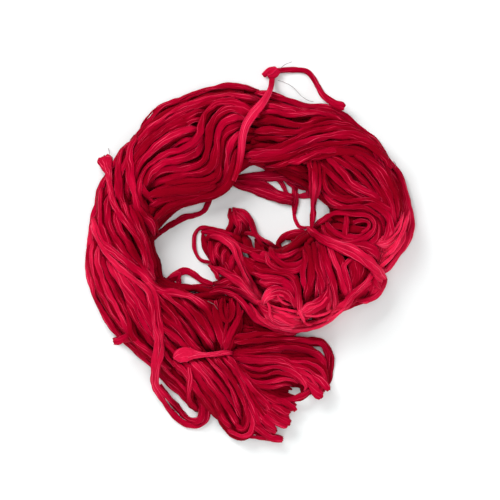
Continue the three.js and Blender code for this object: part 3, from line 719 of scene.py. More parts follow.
        (5, (-19, -81), (-12, -89), (-6, -98), (1, -107), (8, -115), (14, -122), (18, -130)),
        (5, (-50, -87), (-48, -98), (-49, -108), (-48.5, -118), (-43, -126)),
    ),
    "frayed": (
        (6.5, (48, -95), (55, -101), (60.5, -106), (63, -109.5)),
        (7, (44, -102), (50, -107.5), (54, -112), (56.5, -116)),
        (6, (20, -116), (27.5, -119.5), (33.4, -123), (36.4, -126)),
        (6, (10, -127), (18, -133.5), (25, -137.5), (29.5, -139)),
        (7, (16, -121), (24, -125.5), (31, -128.5)),
        (7, (12, -124), (20, -130), (28, -134.5), (31.5, -136.5)),
        (6, (8, -130), (14, -136), (20.5, -141)),
        (6, (2, -137), (9, -143.5), (17, -148), (25, -150)),
        (5, (-26, -124), (-23, -132), (-17, -139)),
        (6, (-95, -64), (-101, -67.5), (-108.5, -71)),
    ),
    "lump_fill": (
        (4.5, (-34, 16), (-34, 6), (-31.5, -4), (-28, -11), (-20, -17)),
        (6, (-30, 17), (-30, 8), (-27.5, -2), (-23, -11), (-15, -17)),
        (6, (-22, 18), (-23.5, 8), (-21, -2), (-16, -11), (-9, -19)),
        (6, (-15, 16), (-15.5, 6), (-12, -4), (-8, -14), (-3, -24)),
        (7, (-16, 26), (-14, 20), (-11, 13), (-8, 6)),
        (6, (-9, 19), (-8, 13), (-5, 7), (2, 3)),
        (7, (4, -22), (12, -25), (20, -26), (30, -27)),
        (7, (6, -34), (16, -37), (26, -39), (38, -42)),
        (7, (10, -46), (20, -48), (32, -50), (44, -52)),
        (6, (18, -30), (24, -36), (28, -44), (36, -52)),
        (6, (-26, -20), (-20, -20.5), (-14, -20), (-8, -21)),
        (6, (-17, 22), (-14, 16), (-8, 10), (-2, 4)),
        (5, (-26, -15), (-20, -18), (-13, -23), (-6, -29)),
        (5, (-24, -19), (-18, -24), (-10, -28), (-2, -34)),
        (6, (-30, -24), (-20, -23), (-10, -25), (0, -31)),
        (7, (-27, 15), (-27, 5), (-24, -5), (-19, -13), (-12, -18)),
        (7, (-20, 14), (-19, 5), (-16, -5), (-11, -15), (-5, -23)),
        (7, (-12, 14), (-11, 4), (-8, -7), (-4, -17), (2, -28)),
        (7, (-6, 20), (-3, 10), (1, 0), (4, -10), (8, -22)),
        (7, (4, 12), (9, 2), (12, -9), (15, -20)),
        (6, (-13, 33), (-11, 27), (-7, 19), (-2, 11)),
        (6, (-6, 32), (-5, 25), (-1, 17)),
        (7, (-26, -26), (-16, -26), (-6, -30), (2, -37), (9, -45)),
        (7, (-14, -34), (-6, -40), (0, -47), (7, -54), (16, -58)),
        (7, (2, -38), (10, -46), (20, -53), (32, -57)),
        (7, (56, 10), (60, 0), (63, -12), (66, -24), (67, -38)),
        (7, (66, 6), (70, -6), (75, -18), (78, -30)),
        (7, (92, 2), (96, -10), (92, -22), (84, -32), (74, -42)),
        (7, (100, -10), (101, -20), (101, -29), (96, -36), (88, -38.5)),
        (7, (56, 26), (62, 18), (72, 12), (84, 10)),
        (7, (64, 31), (72, 28), (82, 26), (94, 24)),
        (7, (64, 24), (76, 20), (90, 18), (100, 16)),
    ),
    "lump": (
        (7, (0, 4), (10, -1), (20, -2), (30, -1), (42, 4)),
        (7, (0, -8), (12, -11), (22, -12), (32, -11), (44, -8)),
        (7, (4, -15), (15, -17), (25, -18), (36, -20)),
        (7, (45, 8), (46, -5), (47, -16), (46, -27), (44, -38)),
        (7, (51, 8), (52, -5), (54, -16), (55, -27), (53, -38)),
        (7, (8, -22), (18, -22), (27, -23), (33, -28), (34, -38)),
        (6, (-10, -20), (-18, -23), (-28, -25)),
        (7, (14, -34), (22, -35), (30, -37)),
        (4.5, (-38.5, 19), (-38.6, 11), (-36.6, 3), (-33.4, -3), (-31, -9)),
        (4.5, (-33, -7), (-31.5, -11.5), (-27, -15.5), (-25.5, -20), (-22, -23)),
        (4.5, (-31, 16), (-32.5, 9), (-31.5, 1), (-29.5, -6), (-27, -12)),
        (4, (-17, 8), (-22, 9.5), (-26.5, 6), (-27, 0.5), (-24.5, -5), (-21, -9)),
        (4, (-14, 5), (-18.5, 3), (-21.5, -2), (-21, -8), (-18, -13)),
        (4.5, (-8, 2), (-12, -1), (-15, -6), (-15, -12), (-12, -17)),
        (5, (-40, 19.5), (-34, 20.5), (-28, 18.5), (-22, 17), (-16, 14), (-11, 10)),
        (5, (-19, 13), (-18.5, 18.5), (-16, 23), (-15, 27), (-16.6, 31), (-16.4, 36.6)),
        (5.5, (-11, 11), (-10.5, 17), (-9, 22), (-10.5, 27), (-13, 32), (-14, 36)),
        (5, (-4, 17), (-3, 20), (-3.5, 24), (-6, 28), (-10, 32), (-14.5, 34)),
        (5, (22, 4), (16, 7.5), (9.8, 11.6), (5, 15), (2, 20), (0.2, 26), (-3, 31), (-8.5, 34.6),
         (-14.6, 37)),
        (4.5, (-16.5, 28), (-12, 26.5), (-7, 26.5), (-2.5, 29)),
        (4, (-9, 13), (-4, 16.5), (1.5, 15.5), (6, 11.5), (9, 7), (15, 3.5)),
        (4.5, (-11, 9), (-6, 4.5), (0, 2), (7, 0.5), (13, 1)),
        (4.5, (-3, 3), (4, -2), (12, -6), (20, -8), (30, -9.5)),
        (5, (16, 5), (17.5, -1.5), (21.5, -6), (27, -9), (33, -9.8), (39, -8.5), (45, -4), (50, 2)),
        (5, (12, 0), (14.5, -7), (20, -12), (28, -14), (36, -13.5), (44, -10), (51, -4)),
        (4.5, (2, -9), (9, -13), (17, -14.5), (25, -15.5), (31, -17), (35, -21), (36.5, -28), (37, -36),
         (38, -46)),
        (4.5, (2, -15), (9, -18), (17, -19), (25, -20), (31, -23)),
        (5, (47, 6), (47.5, -4), (48.5, -13), (48, -22), (46, -30)),
        (5, (53, 10), (54.5, 1), (57, -9), (60, -18), (62, -28), (63, -38), (64, -47)),
        (5, (57, 11), (58, 2), (60, -6), (63, -14), (65.5, -22), (67, -30), (67.5, -38), (67, -46)),
        (5, (50, 9), (51, 0), (52.5, -9), (55, -17), (57, -25), (56.5, -33), (52, -38.5), (45, -41.5)),
        (5, (34, -15), (36.5, -20), (38.5, -28), (39, -37), (40, -46), (42, -54)),
        (4, (42, 3), (43, -6), (41.5, -14), (42, -22), (43, -30)),
        (5, (84, -2), (78, -5.5), (73.5, -9.5), (74.5, -16), (77, -23), (79, -31), (78, -38)),
        (5, (106, -14), (107, -21), (105.3, -27.5), (100.6, -33.3), (94.6, -36.8), (88.5, -38), (83, -36.5)),
        (5, (108, -12), (103, -18), (98, -24), (96, -29), (99, -33)),
        (4.5, (103, -13), (99, -19), (101, -25), (104.5, -29)),
        (4, (100, -17), (94, -23.5), (88, -28.5), (82, -34), (77, -40.5), (71.5, -46)),
        (5, (98, -36), (93, -38), (88.5, -38.4), (85, -36.5)),
        (4, (-26, 12), (-32, 15), (-35.5, 11), (-34, 6)),
    ),
    "ring_side": (
        (5.5, (80, 35), (91, 34.5), (99.5, 31), (104.5, 24), (104.5, 16), (100, 9), (93, 3)),
        (5, (84, 33), (93, 31.5), (100, 27.5), (102, 21), (100.5, 14), (96, 9), (89, 6)),
        (5.5, (90, 39), (101, 37), (108.5, 31), (111, 22.5), (109, 14), (104, 7)),
        (5, (60, 27), (64, 20), (72, 15), (82, 12.5), (91, 15), (96, 21)),
    ),
    "ring": (
        (4.5, (51, 21.5), (56.5, 26), (62, 30), (70, 32.6), (80, 32), (89, 31.3), (96, 28.5), (99, 23),
         (97.5, 17.5), (92, 13), (85, 10), (77, 8.8), (69, 10), (62, 13.5), (58.5, 18), (58, 23)),
        (4, (80, 21), (83.5, 25), (89, 27), (94, 25.5), (94.5, 21), (90, 17.5), (84, 17)),
        (4.5, (76, 34), (76.3, 26), (75.5, 18), (75, 9.5)),
        (4, (64.5, 37.2), (71, 36.5), (80, 36.5), (90, 36), (98, 33), (104, 28), (107, 22)),
    ),
    "lump_bands": (
        (5, (60, 11), (63.5, 3), (66.5, -6), (70, -15), (73, -23), (75.6, -31), (76.6, -37)),
        (5, (103, -11), (99, -14.5), (93, -21), (87, -27), (80.4, -32), (75.4, -38), (70, -43), (64, -47.5)),
        (5.5, (46, 21), (51, 16.5), (58, 12), (66, 8.5), (74, 6), (82, 3.5), (90, -1.5), (97, -8),
         (103, -14), (107.5, -20)),
        (5.5, (48, 17), (54, 12.5), (61, 8), (68, 4.5), (75, 2), (82, -1.5), (89, -6.5), (95, -12),
         (101, -17), (105, -22)),
        (5, (-40, 17), (-33, 17), (-26, 15.5), (-19, 12.5), (-13.5, 8), (-10, 2), (-7.5, -5), (-4.5, -12),
         (-1.5, -19), (1.5, -26), (5.5, -32), (11, -37)),
        (4.5, (-36, 14), (-28, 13.5), (-21, 10.5), (-15, 5.5), (-11.5, -1), (-9, -8), (-6, -15), (-3, -22),
         (0, -28), (4, -33)),
        (4.5, (-34, -9.5), (-28.5, -12.5), (-21, -14), (-15, -17), (-9, -21), (-4, -26), (1, -31),
         (6, -35.5), (12, -38)),
        (4.5, (-28, -14), (-20, -16.5), (-13, -21), (-7, -26), (-2, -31), (4, -36), (11, -40)),
        (5, (-33, -29.5), (-26, -28), (-18, -28), (-10, -30.5), (-3, -34.5), (4, -38), (12, -40), (20, -43)),
        (5, (-35, -34), (-29, -31.5), (-22, -30.5), (-15, -32), (-9, -36.5), (-3.5, -42.5), (1.5, -49),
         (6.5, -54), (13, -58), (21, -61), (30, -64), (36, -65.5)),
        (4.5, (-1, -40), (4, -46), (9, -52), (15, -56.5), (23, -59), (31, -61.5)),
        (4.5, (8, -38), (11.5, -44), (13, -50.5), (17, -55), (24, -57.5), (33, -59.5), (42, -61),
         (52, -59.5), (60, -56)),
    ),
    "swirl": (
        (2.2, (13.5, -37), (14.5, -31), (19, -27.8), (25, -27.5), (31, -30), (35, -35)),
        (2, (22, -29), (22, -34), (25, -38.5), (30, -41), (36, -41)),
        (2, (26, -30), (26.5, -34), (30, -37), (35, -38)),
        (2.2, (16, -35), (21, -32.5), (27, -34), (31, -38.5)),
        (2.2, (11, -41), (18, -44.5), (26, -47), (34, -50), (40, -54)),
        (2.2, (9, -45), (16, -49), (24, -52.5), (31, -56.5), (38, -61)),
        (2.2, (62, -27), (60.5, -34), (56, -39.5), (49, -42.5), (41, -43.5)),
        (2.2, (66, -43), (60, -47.5), (52, -49.5), (43, -49.5), (36, -47)),
        (2.2, (67, -47), (60, -52.5), (51, -55.5), (42, -56)),
        (2.8, (72, -46.5), (67.5, -50.8), (60, -56.6), (48, -60.6), (37, -61.5), (27, -61)),
        (2.4, (76.5, -40), (72.6, -45), (65.4, -50.6), (58, -54.6)),
        (2, (42, -50), (43.5, -55), (48, -57), (51.5, -54)),
        (2.2, (12, -38), (19, -42.6), (28, -44.6), (36, -46), (42, -47.6)),
        (2.2, (17, -49.4), (24, -52.4), (31, -56), (38, -60)),
        (2, (20, -46.6), (28, -48.8), (36, -50.6), (44, -52)),
        (2.4, (11, -35), (14.6, -41), (15, -48), (18, -54), (25, -58)),
        (2.4, (36.5, -40), (39, -46), (41.5, -51), (44, -56)),
    ),
    "pleats": (
        (2.4, (104, 13), (110, 15), (115.5, 20), (119, 27), (121, 35)),
        (2.4, (103, 7.5), (110, 10.5), (116, 16), (120, 24), (122.5, 33)),
        (2.6, (105, 1), (111, 4.5), (117, 11), (121.5, 20), (124.5, 30)),
        (3.4, (103, -5), (110, 0), (116, 7), (121, 15.5), (124.5, 25), (127, 34)),
        (4, (102, -12), (108.6, -6.4), (114.2, -0.2), (119.8, 7.6), (124.2, 17)),
    ),
}
# The groups that have plainer turns below them
DOUBLED = ("top_right", "right", "top_left", "left", "fan")
# How pale the cloth of each group's turns is, from and to; 0 is usual. Partly its own tone, partly painted
# light:
# shade, and the swirl, the pleats and the lump's bands are paler, partly pale cloth and partly painted
# highlight
# the fill groups, deep between the turns, are darkened as painted shade, the groups of the top get some
# painted
USUAL_TONES = (-0.6, 1)
GROUP_TONES = {
    "rim": (-1.2, 0.4), "top_right": (-1.6, 0.4), "right": (-1.2, 0.6), "crossing": (-0.6, 0.2),
    "top_left": (-1.2, 0.9), "fan": (-0.6, 1.3), "loop": (0.6, 1.6), "lump_fill": (-3, -1.5),
    "lump": (-1.0, 1.4), "ring": (-0.8, 0.4), "ring_side": (-1.2, 0.2), "lump_bands": (0.4, 1.6),
    "swirl": (0.2, 2.6), "pleats": (1.0, 2.6), "frayed": (-0.6, 1.2), "fan_back": (-1.4, 0.2),
    "fan_fill": (-3, -1.8), "gap_fill": (-3, -1.8), "right_fill": (-2.6, -1.6),
}
# How wide they lie against the table, from and to
USUAL_WIDTHS = (0.85, 1.4)
GROUP_WIDTHS = {
    "rim": (0.9, 1.1), "left": (0.78, 1.25), "right": (0.8, 1.25), "crossing": (0.95, 1.05),
    "fan": (0.85, 1.2), "lump": (0.85, 1.35), "pleats": (0.9, 1.1), "lump_fill": (0.9, 1.1),
    "ring": (0.95, 1.1), "lump_bands": (0.95, 1.25), "swirl": (0.9, 1.2), "frayed": (0.9, 1.2),
    "fan_back": (0.95, 1.15), "fan_fill": (0.95, 1.05), "gap_fill": (0.95, 1.05),
    "right_fill": (0.95, 1.05), "loop": (0.95, 1.1), "lowest": (0.95, 1.1),
}
# Painted shade and painted highlight, with some uneven dye: x, y, reach both ways, and how much paler
PAINTED_LIGHT_AND_DYE = (
    (-50, 52, 30, 11, -2.9), (4, -71, 24, 8, -2.4), (-90, 5, 11, 14, -2.2), (-69, -46, 9, 12, -1.8),
    (-22, -50, 20, 9, -3.0), (-48, -50, 10, 9, -0.9), (28, -89, 14, 6, -0.2), (8, -92, 12, 6, -0.5),
    (-130, -30, 8, 12, 1.0), (-90, -50, 10, 10, -0.5), (-48, -30, 9, 7, 1.0), (-110, -50, 9, 9, 0.9),
    (-90, -70, 9, 9, -0.7), (-110, 12, 9, 12, -0.5), (8, -91, 16, 7, -0.4), (-100, -14, 24, 13, 0.9),
    (50, -107, 12, 10, 0.9), (50, 2, 8, 15, -2.8), (25, 9, 15, 7, -2.0), (90, 8, 8, 8, 0.8),
    (36, -50, 28, 11, 3.0), (10, -30, 9, 9, 0.8), (64, -48, 14, 9, 1.8), (74, -46, 8, 7, 1.0),
    (80, 80, 20, 16, -0.9), (22, -12, 20, 9, -1.6), (-31, 8, 9, 10, -1.2), (70, -8, 9, 9, 0.8),
    (52, 71, 6, 6, -2.0), (109, -10, 9, 8, 1.4), (-31, 76, 9, 18, -2.7), (8, 10, 8, 7, 0.9),
    (-30, -50, 9, 9, -1.0), (-50, -110, 9, 9, 1.0), (-32, 108, 14, 9, -1.1), (110, 50, 9, 10, -0.8),
    (105, 8, 8, 9, 1.0), (9, -110, 12, 8, -1.5), (-9, -92, 10, 11, -1.1), (30, 90, 10, 8, -0.8),
    (10, -130, 9, 9, -0.5), (-30, -110, 9, 9, -0.7), (-26, -129, 11, 10, -1.9), (-90, 50, 9, 10, 0.7),
    (-90, 70, 9, 8, -1.6), (10, 70, 9, 8, 0.8), (110, 70, 9, 9, 0.9), (-10, 10, 8, 8, 0.8),
    (112, 2, 9, 15, 2.4), (128, 30, 5, 15, 1.5), (-20, 129, 26, 8, -0.5), (-12, 63, 5, 6, -2.2),
    (-70, 70, 13, 7, 1.0), (50, 91, 16, 6, 0.6), (-90, 92, 16, 12, -1.0), (-90, 30, 9, 12, -1.6),
    (-32, -30, 10, 7, -1.4), (-131, 6, 8, 28, 1.9), (-50, -91, 15, 10, 0.8), (6, -30, 10, 9, 1.0),
    (50, 50, 7, 11, 1.6), (57, 64, 6, 7, -1.6), (12, 130, 9, 6, 1.0), (7, 112, 7, 7, 1.0),
    (17, 137, 5, 7, -1.8), (-9, 76, 4, 12, -0.7), (112, 30, 8, 9, 1.0), (-90, -10, 9, 8, -1.2),
    (92, -28, 8, 10, 0.8), (10, -32, 8, 8, 2.2), (128, 8, 6, 10, 1.2), (101, -29, 9, 9, 1.4),
    (-70, 31, 12, 9, -1.2), (-10, 69, 7, 10, -1.6), (-58, -127, 16, 16, -1.4),
)
# Small holes that stay open between the turns: x, y and radius
OPENINGS = (
    (55.2, -76.2, 1.1), (56.4, -77.2, 0.9), (33.4, -111.4, 1.2), (35.8, -111, 0.9), (31.6, 51.2, 1.5),
    (22.4, 54.6, 1.6), (26.8, 7.4, 1.6), (-45, -31, 1.3), (-37.8, -32, 2.2), (-42.4, 12, 1.1),
    (-41.4, 5, 1.4), (-38.5, -1, 1.8), (-34.4, -16, 2.6),
)


def kept_clear(line, half_width):
    """The line bent aside where it would cover an opening."""
    for x, y, radius in OPENINGS:
        away = line - (x, y)
        far = np.linalg.norm(away, axis=1)
        near = far.argmin()
        need = radius + half_width - far[near]
        if need > 0 and 0 < near < len(line) - 1:
            ahead = line[near + 1] - line[near - 1]
            aside = np.array([-ahead[1], ahead[0]]) / (np.linalg.norm(ahead) + TINY)
            aside *= 1 if aside @ away[near] >= 0 else -1
            bump = np.exp(-0.5 * (np.linalg.norm(line - line[near], axis=1) / (radius + half_width + 2)) ** 2)
            line = line + need * bump[:, None] * aside
    return line


def painted_light_and_dye(xy):
    """How much paler the cloth is painted at some places: painted shade and painted highlight, with some
    uneven dye.
    """
    total = np.zeros(len(xy))
    for x, y, reach_x, reach_y, amount in PAINTED_LIGHT_AND_DYE:
        total += amount * np.exp(-(((xy[:, 0] - x) / reach_x) ** 2) - ((xy[:, 1] - y) / reach_y) ** 2)
    return total


def sunk(count, both_ends=True, length=DIVE_LENGTH):
    """How far down a ribbon is near its ends, from 1 at the end to 0 where it lies on top."""
    return (1 - np.clip(from_end(count, LAY_STEP, both_ends) / length, 0, 1)) ** 2


def tapered(count, step, both_ends=True):
    """A ribbon's width along its length where its ends slip out of sight."""
    run = from_end(count, step, both_ends) / TAPER_LENGTH
    return TAPER_WIDTH + (1 - TAPER_WIDTH) * np.clip(run, 0, 1)


def turn_round(a, b, ahead):
    """Three points of a bight that joins two turns."""
    ahead = ahead / (np.linalg.norm(ahead) + TINY)
    reach = 0.45 * np.linalg.norm(a - b) + 1.5
    middle = (a + b) / 2
    shoulders = [0.8 * end + 0.2 * middle + 0.7 * reach * ahead for end in (a, b)]
    return np.array([shoulders[0], middle + reach * ahead, shoulders[1]])


def lanes(rng, pile, yarns):
    """The hidden bulk: pairs of turns along the whole spiral, laid level by level from the surface up."""
    rails = smooth(SPIRAL)
    per_row = (len(rails) - 1) / (len(SPIRAL) - 1)
    for level, count in LEVELS:
        room = 0.5 * (1 - level**2.4) ** 0.5 * 0.92
        places = 0.5 + room * np.linspace(-1, 1, count)
        for pair in range(count // 2):
            start = int(per_row * rng.uniform(1.3, 2.2 + 2 * level))
            stop = len(rails) - 1 - int(per_row * rng.uniform(2.4 + 2 * level, LUMP_ROWS))
            rows = rails[start:stop:6]
            sides = []
            for place in places[2 * pair:2 * pair + 2]:
                drift = place + 0.055 * wave(rng, len(rows), 1, 26) + rng.normal(0, 0.01)
                drift = np.clip(drift, 0.5 - room, 0.5 + room)[:, None]
                sides.append(kept_clear(rows[:, :2] * (1 - drift) + rows[:, 2:] * drift, 0.55 * RIBBON_WIDTH))
            go, back = sides
            tip = turn_round(go[0], back[0], go[0] - go[1] + back[0] - back[1])
            end = turn_round(go[-1], back[-1], go[-1] - go[-2] + back[-1] - back[-2])
            half = len(go) // 2
            line = even(smooth(np.vstack((go[half::-1], tip, back, end[::-1], go[:half:-1]))), DRAW_STEP)
            width = RIBBON_WIDTH * (0.95 + 0.1 * wave(rng, len(line), DRAW_STEP, 60))
            path = even(np.column_stack((line, *pile.lay(line, width, RIBBON_THICKNESS))), LANE_STEP)
            yarn = yarns[pair % len(yarns)]
            # The hidden bulk is darkened as painted shade, deep in the pile
            yarn.ribbon(path, RIBBON_WIDTH, RIBBON_THICKNESS, rng, tone=rng.uniform(-2.5, -1))


def laid(pile, points, width, thickness, dive=DIVE_DEPTH, rng=None, both_ends=True):
    """A route's line with heights: it rests on the pile and sinks between its neighbours at its ends."""
    line = even(smooth(points), LAY_STEP)
    n = len(line)
    if rng is not None:
        sway = SWAY * wave(rng, n, LAY_STEP, rng.uniform(*SWAY_BENDS))
        line = line + sway[:, None] * across_of(line)
    line = kept_clear(line, 0.52 * width)
    down = dive * sunk(n, both_ends)
    return np.column_stack((line, *pile.lay(line, np.full(n, width * 0.95), thickness * 0.9, drop=down)))


def seen_turns(rng, pile, name, routes, dive=DIVE_DEPTH):
    """The turns that show, each laid over those before it and sunk between others at its ends."""
    yarn = Yarn(name + "_turns", 3 if name.endswith("_fill") else 5)
    frayed = name == "frayed"
    for width, *points in routes:
        wide = width * rng.uniform(*GROUP_WIDTHS.get(name, USUAL_WIDTHS))
        thick = wide * FLATNESS * rng.uniform(0.8, 1.25)
        path = even(laid(pile, points, wide, thick, dive, rng, both_ends=not frayed), DRAW_STEP)
        wide = wide * tapered(len(path), DRAW_STEP, both_ends=not frayed)
        tone = rng.uniform(*GROUP_TONES.get(name, USUAL_TONES))
        yarn.ribbon(path, wide, thick, rng, tone, fray=1.1 if frayed else 0.0)
    return yarn


def under_turns(rng, pile, name, routes):
    """Plainer turns just below those that show, following them loosely, darkened as painted shade."""
    yarn = Yarn(name, 3)
    thick = 2.8
    for shift in (-1.8, 1.8):
        for width, *points in routes:
            if len(points) < 5:
                continue
            line = np.asarray(points, float)
            offset = shift + 1.3 * wave(rng, len(line), 1, 9)
            path = even(laid(pile, line + offset[:, None] * across_of(line), width, thick), PLAIN_STEP)
            wide = width * tapered(len(path), PLAIN_STEP)
            yarn.ribbon(path, wide, thick, rng, tone=rng.uniform(-3, -1))
    return yarn


def sheer_ribbon(rng, pile):
    """The tie's wide flat part: pleats that fan out from the pinch, a single cloth thick."""
    yarn = Yarn("sheer_ribbon", 9)
    for width, *points in SHEER:
        path = even(laid(pile, points, width, 1.4, dive=0), DRAW_STEP)
        wide = width * (0.45 + 0.6 * np.sqrt(np.linspace(0, 1, len(path))))
        yarn.ribbon(path, wide, 1.6, rng, tone=0.2, twist=0.12)
    return yarn


# Turns opened out flat: how pale, how many edges, then x, y and width along each. Most are darkened
# as painted shade, below the turns that lie over them
SHAPED = {
    "left_sheet": (-1.6, 9, (
        (-24, 13, 7), (-24, 5, 11), (-21, -3, 13), (-16, -11, 13), (-10, -19, 10), (-4, -27, 6),
    )),
    "middle_sheet": (-1.0, 9, ((-6, -3, 7), (1, -9, 12), (11, -13, 15), (22, -16, 14), (32, -19, 8))),
    "inner_sheet": (-1.4, 9, ((-3, 1, 4), (5, -2, 8), (14, -4, 10), (24, -4, 11), (34, -3, 10), (43, 0, 7))),
    "deep_sheet": (-2.4, 8, ((50, 8, 7), (51, -4, 12), (50, -15, 14), (47, -26, 13), (43, -36, 8))),
    "flat_panel": (-1.0, 9, (
        (84, 4, 9), (85, -5, 15), (85.5, -14, 17), (84, -22, 14), (81, -30, 8), (79, -37, 5),
    )),
    "end_pleats": (-0.6, 9, (
        (104, -9, 6), (103, -16, 9), (102, -23, 10), (100, -30, 9), (95, -36, 7), (87, -39, 5),
    )),
    "side_pleats": (-0.2, 9, ((101, -11, 6), (103.5, -5, 10), (105, 2, 12), (107, 9, 10), (110, 16, 6))),
    "end_sheet": (-1.6, 8, ((98, -20, 6), (94.5, -26, 10), (90, -31, 11), (85, -35, 9), (80, -38, 5))),
    "low_panel": (-1.8, 8, ((65, 8, 6), (68.5, -4, 10), (72, -15, 12), (74.5, -26, 9), (75, -35, 6))),
    "ring_foot": (-0.6, 8, ((80, 7.5, 5), (88, 6.5, 8), (95, 3.5, 10), (100, -1, 8), (102.5, -7, 5))),
    "tip_fold": (-1.2, 9, ((-5, 17, 5), (-6.5, 21, 9), (-8.5, 26, 12), (-10.5, 31, 12), (-12.5, 35.5, 8))),
    "upper_swirl": (-0.4, 9, (
        (9, -42, 5), (12, -35, 8), (18, -30.5, 10), (26, -31, 10), (32, -36, 9), (35.5, -43, 6),
    )),
    "low_swirl": (-1.0, 10, ((6, -40, 5), (13, -45, 10), (21, -49.5, 13), (31, -52.5, 12), (41, -55, 7))),
    "right_swirl": (-0.6, 10, ((62.5, -24, 5), (60.5, -33, 8), (54, -40, 11), (45, -44.5, 11), (37, -48, 6))),
    "rim_pleats": (0.0, 12, (
        (98, 8, 5), (104, 8, 10), (109, 9, 13), (114, 13, 12), (118, 20, 10), (121.5, 30, 7),
    )),
    "bottom_swirl": (-0.3, 9, (
        (11, -52, 4), (19, -56, 7), (30, -58.5, 8), (42, -58, 8), (54, -56, 7), (65, -50, 4),
    )),
}
# Which of them lie just below which group
SHAPES_BEFORE = {
    "lump": (
        "left_sheet", "middle_sheet", "inner_sheet", "deep_sheet", "low_panel", "flat_panel", "end_sheet",
        "end_pleats", "side_pleats", "tip_fold",
    ),
    "lump_bands": ("ring_foot",),
    "swirl": ("upper_swirl", "right_swirl", "bottom_swirl", "low_swirl"),
    "pleats": ("rim_pleats",),
}


def shaped_turn(name, rng, pile):
    """A turn opened out flat over part of its length, its pleats fanned."""
    tone, edges, rows = SHAPED[name]
    route = even(smooth(rows), LAY_STEP)
    xy, wide = route[:, :2], route[:, 2] * tapered(len(route), LAY_STEP)
    z, tilt = pile.lay(xy, wide * 0.9, 1.6, drop=3 * sunk(len(route), length=8))
    yarn = Yarn(name, edges)
    yarn.ribbon(np.column_stack((xy, z, tilt)), wide, 1.8, rng, tone, twist=0.1)
    return yarn


# Loose sewing threads: x, y and z
THREADS = (
    ((22, 139.5, 8), (27, 138, 6), (34, 134.5, 3), (41, 126.5, 12), (46.5, 122, 24), (50, 121, 30)),
    ((24, 149, 6), (28, 152.5, 5), (33.5, 154.8, 3)),
    ((-115, 85, 1), (-114, 82.5, 6), (-113.5, 80, 10)),
    ((115, 74, 12), (117, 72, 9), (116.5, 69.5, 12)),
    ((-34, -38, 30), (-29, -40.5, 31.5), (-26, -44.5, 30.5)),
)


def threads(rng, material):
    """Loose grey sewing threads caught in the tie and the turns."""
    yarn = Yarn("loose_threads", 1)
    for rows in THREADS:
        route = even(smooth(rows), FINE_STEP)
        yarn.ribbon(np.column_stack((route, np.zeros(len(route)))), 0.45, 0.45, rng, twist=0.5)
    yarn.mesh(None, material)


# The ties and loose ends on their routes: x, y, z, width and thickness
CORDS = {
    "tie_band": (
        (-13.5, 58, 8, 4, 2.6), (-11.5, 63, 20, 4.6, 2.6), (-9, 71, 29, 5.4, 2.8),
        (-7.5, 81, 34.5, 6.2, 2.8), (-6.5, 92, 36.5, 6.6, 2.8), (-3.5, 102, 37, 7.2, 2.8),
        (2.5, 111, 36.5, 7.4, 2.8), (9, 119, 33, 6.6, 2.8), (14, 127, 24, 5.2, 2.8),
        (16.5, 134, 12, 4.6, 2.8), (17.3, 140, 5.5, 4.6, 2.8), (17.8, 146, 4, 4.6, 2.8),
    ),
    "tie_tail": (
        (20, 147.5, 3.5, 4.4, 3), (28, 148.3, 2, 4.4, 3), (38, 148.4, 1.7, 4.4, 3),
        (45.5, 147, 1.7, 4.6, 3), (50.5, 142, 1.7, 4.6, 3), (54.5, 135, 1.9, 4.6, 3),
        (58.5, 128, 4, 5, 3), (63.5, 123.2, 9, 6, 3), (69, 119.5, 14, 7.5, 2.8), (75, 117.3, 16, 9, 2.6),
    ),
    "left_end": (
        (-82.5, -12, 37, 4.5, 2.8), (-83.5, -3, 37.6, 5, 2.8), (-87, 7, 38, 5, 2.8),
        (-92, 16, 38, 5, 2.8), (-99, 25, 37.6, 5.2, 2.8), (-105.5, 34, 36.5, 5.4, 2.8),
        (-110, 44, 34, 5.4, 2.8), (-112, 55, 29, 5.2, 2.8), (-113.5, 64, 19, 6, 2.8),
        (-116, 71, 10, 11, 3), (-118.5, 77.5, 4, 13.5, 3.4),
    ),
    "neck_tie": (
        (-14, -79.5, 20, 3.6, 2.4), (-20, -79, 25.5, 4.2, 2.4), (-29, -80.2, 28.5, 4.2, 2.4),
        (-38, -80.6, 29.5, 4.6, 2.4), (-45, -80.2, 30, 8, 2.4), (-51, -80, 30, 13.2, 2.4),
        (-57, -81.5, 29.5, 10.5, 2.4), (-61, -83, 29, 5, 2.4),
    ),
    "side_end": (
        (-92, -68, 20, 5, 3), (-98, -69, 12, 5, 3), (-104, -69.5, 5, 5, 3), (-110.5, -69.8, 1.8, 5, 3),
    ),
    "fan_end_1": (
        (42, -99, 10, 4, 3), (48, -105, 6.5, 7, 3), (53.5, -111, 3, 11, 3), (55, -115.5, 1.8, 10, 3),
    ),
    "fan_end_2": (
        (14, -115, 11, 4, 3), (22, -119.5, 7, 6, 3), (30, -122.5, 3, 8.5, 3), (36, -124.5, 1.8, 8, 3),
    ),
    "fan_end_3": (
        (11, -122, 12, 4, 3), (18, -127.5, 8, 7, 3), (25, -132, 3.5, 9.5, 3), (30.5, -134.5, 1.8, 8.5, 3),
    ),
    "fan_end_4": (
        (4, -138, 11, 4, 3), (11, -144.5, 6, 6, 3), (18, -148.5, 2.4, 6.5, 3), (26, -149.8, 1.8, 5.5, 3),
    ),
}
# Each end's far end, record slot, edges, fray, how pale it is, and whether it lies on top of the turns
CORD_FACTS = {
    "tie_band": ("knot", "tie_silk", 8, 0.0, 1.0, True),
    "tie_tail": ("object", "silk", 5, 0.8, 0.0, True),
    "left_end": ("bare", "silk", 7, 2.4, 0.8, True),
    "neck_tie": ("bare", "tie_silk", 7, 1.0, 1.2, True),
    "side_end": ("bare", "silk", 5, 1.2, 0.2, False),
    "fan_end_1": ("bare", "tie_silk", 7, 1.1, -0.2, False),
    "fan_end_2": ("bare", "silk", 6, 1.2, 0.2, False),
    "fan_end_3": ("bare", "silk", 6, 1.2, -0.3, False),
    "fan_end_4": ("bare", "silk", 6, 1.2, 0.2, False),
}
# Those that come up from between the turns, and over what length and depth
DIVING = ("left_end", "neck_tie")
EMERGE_LENGTH = 9
EMERGE_DEPTH = 6
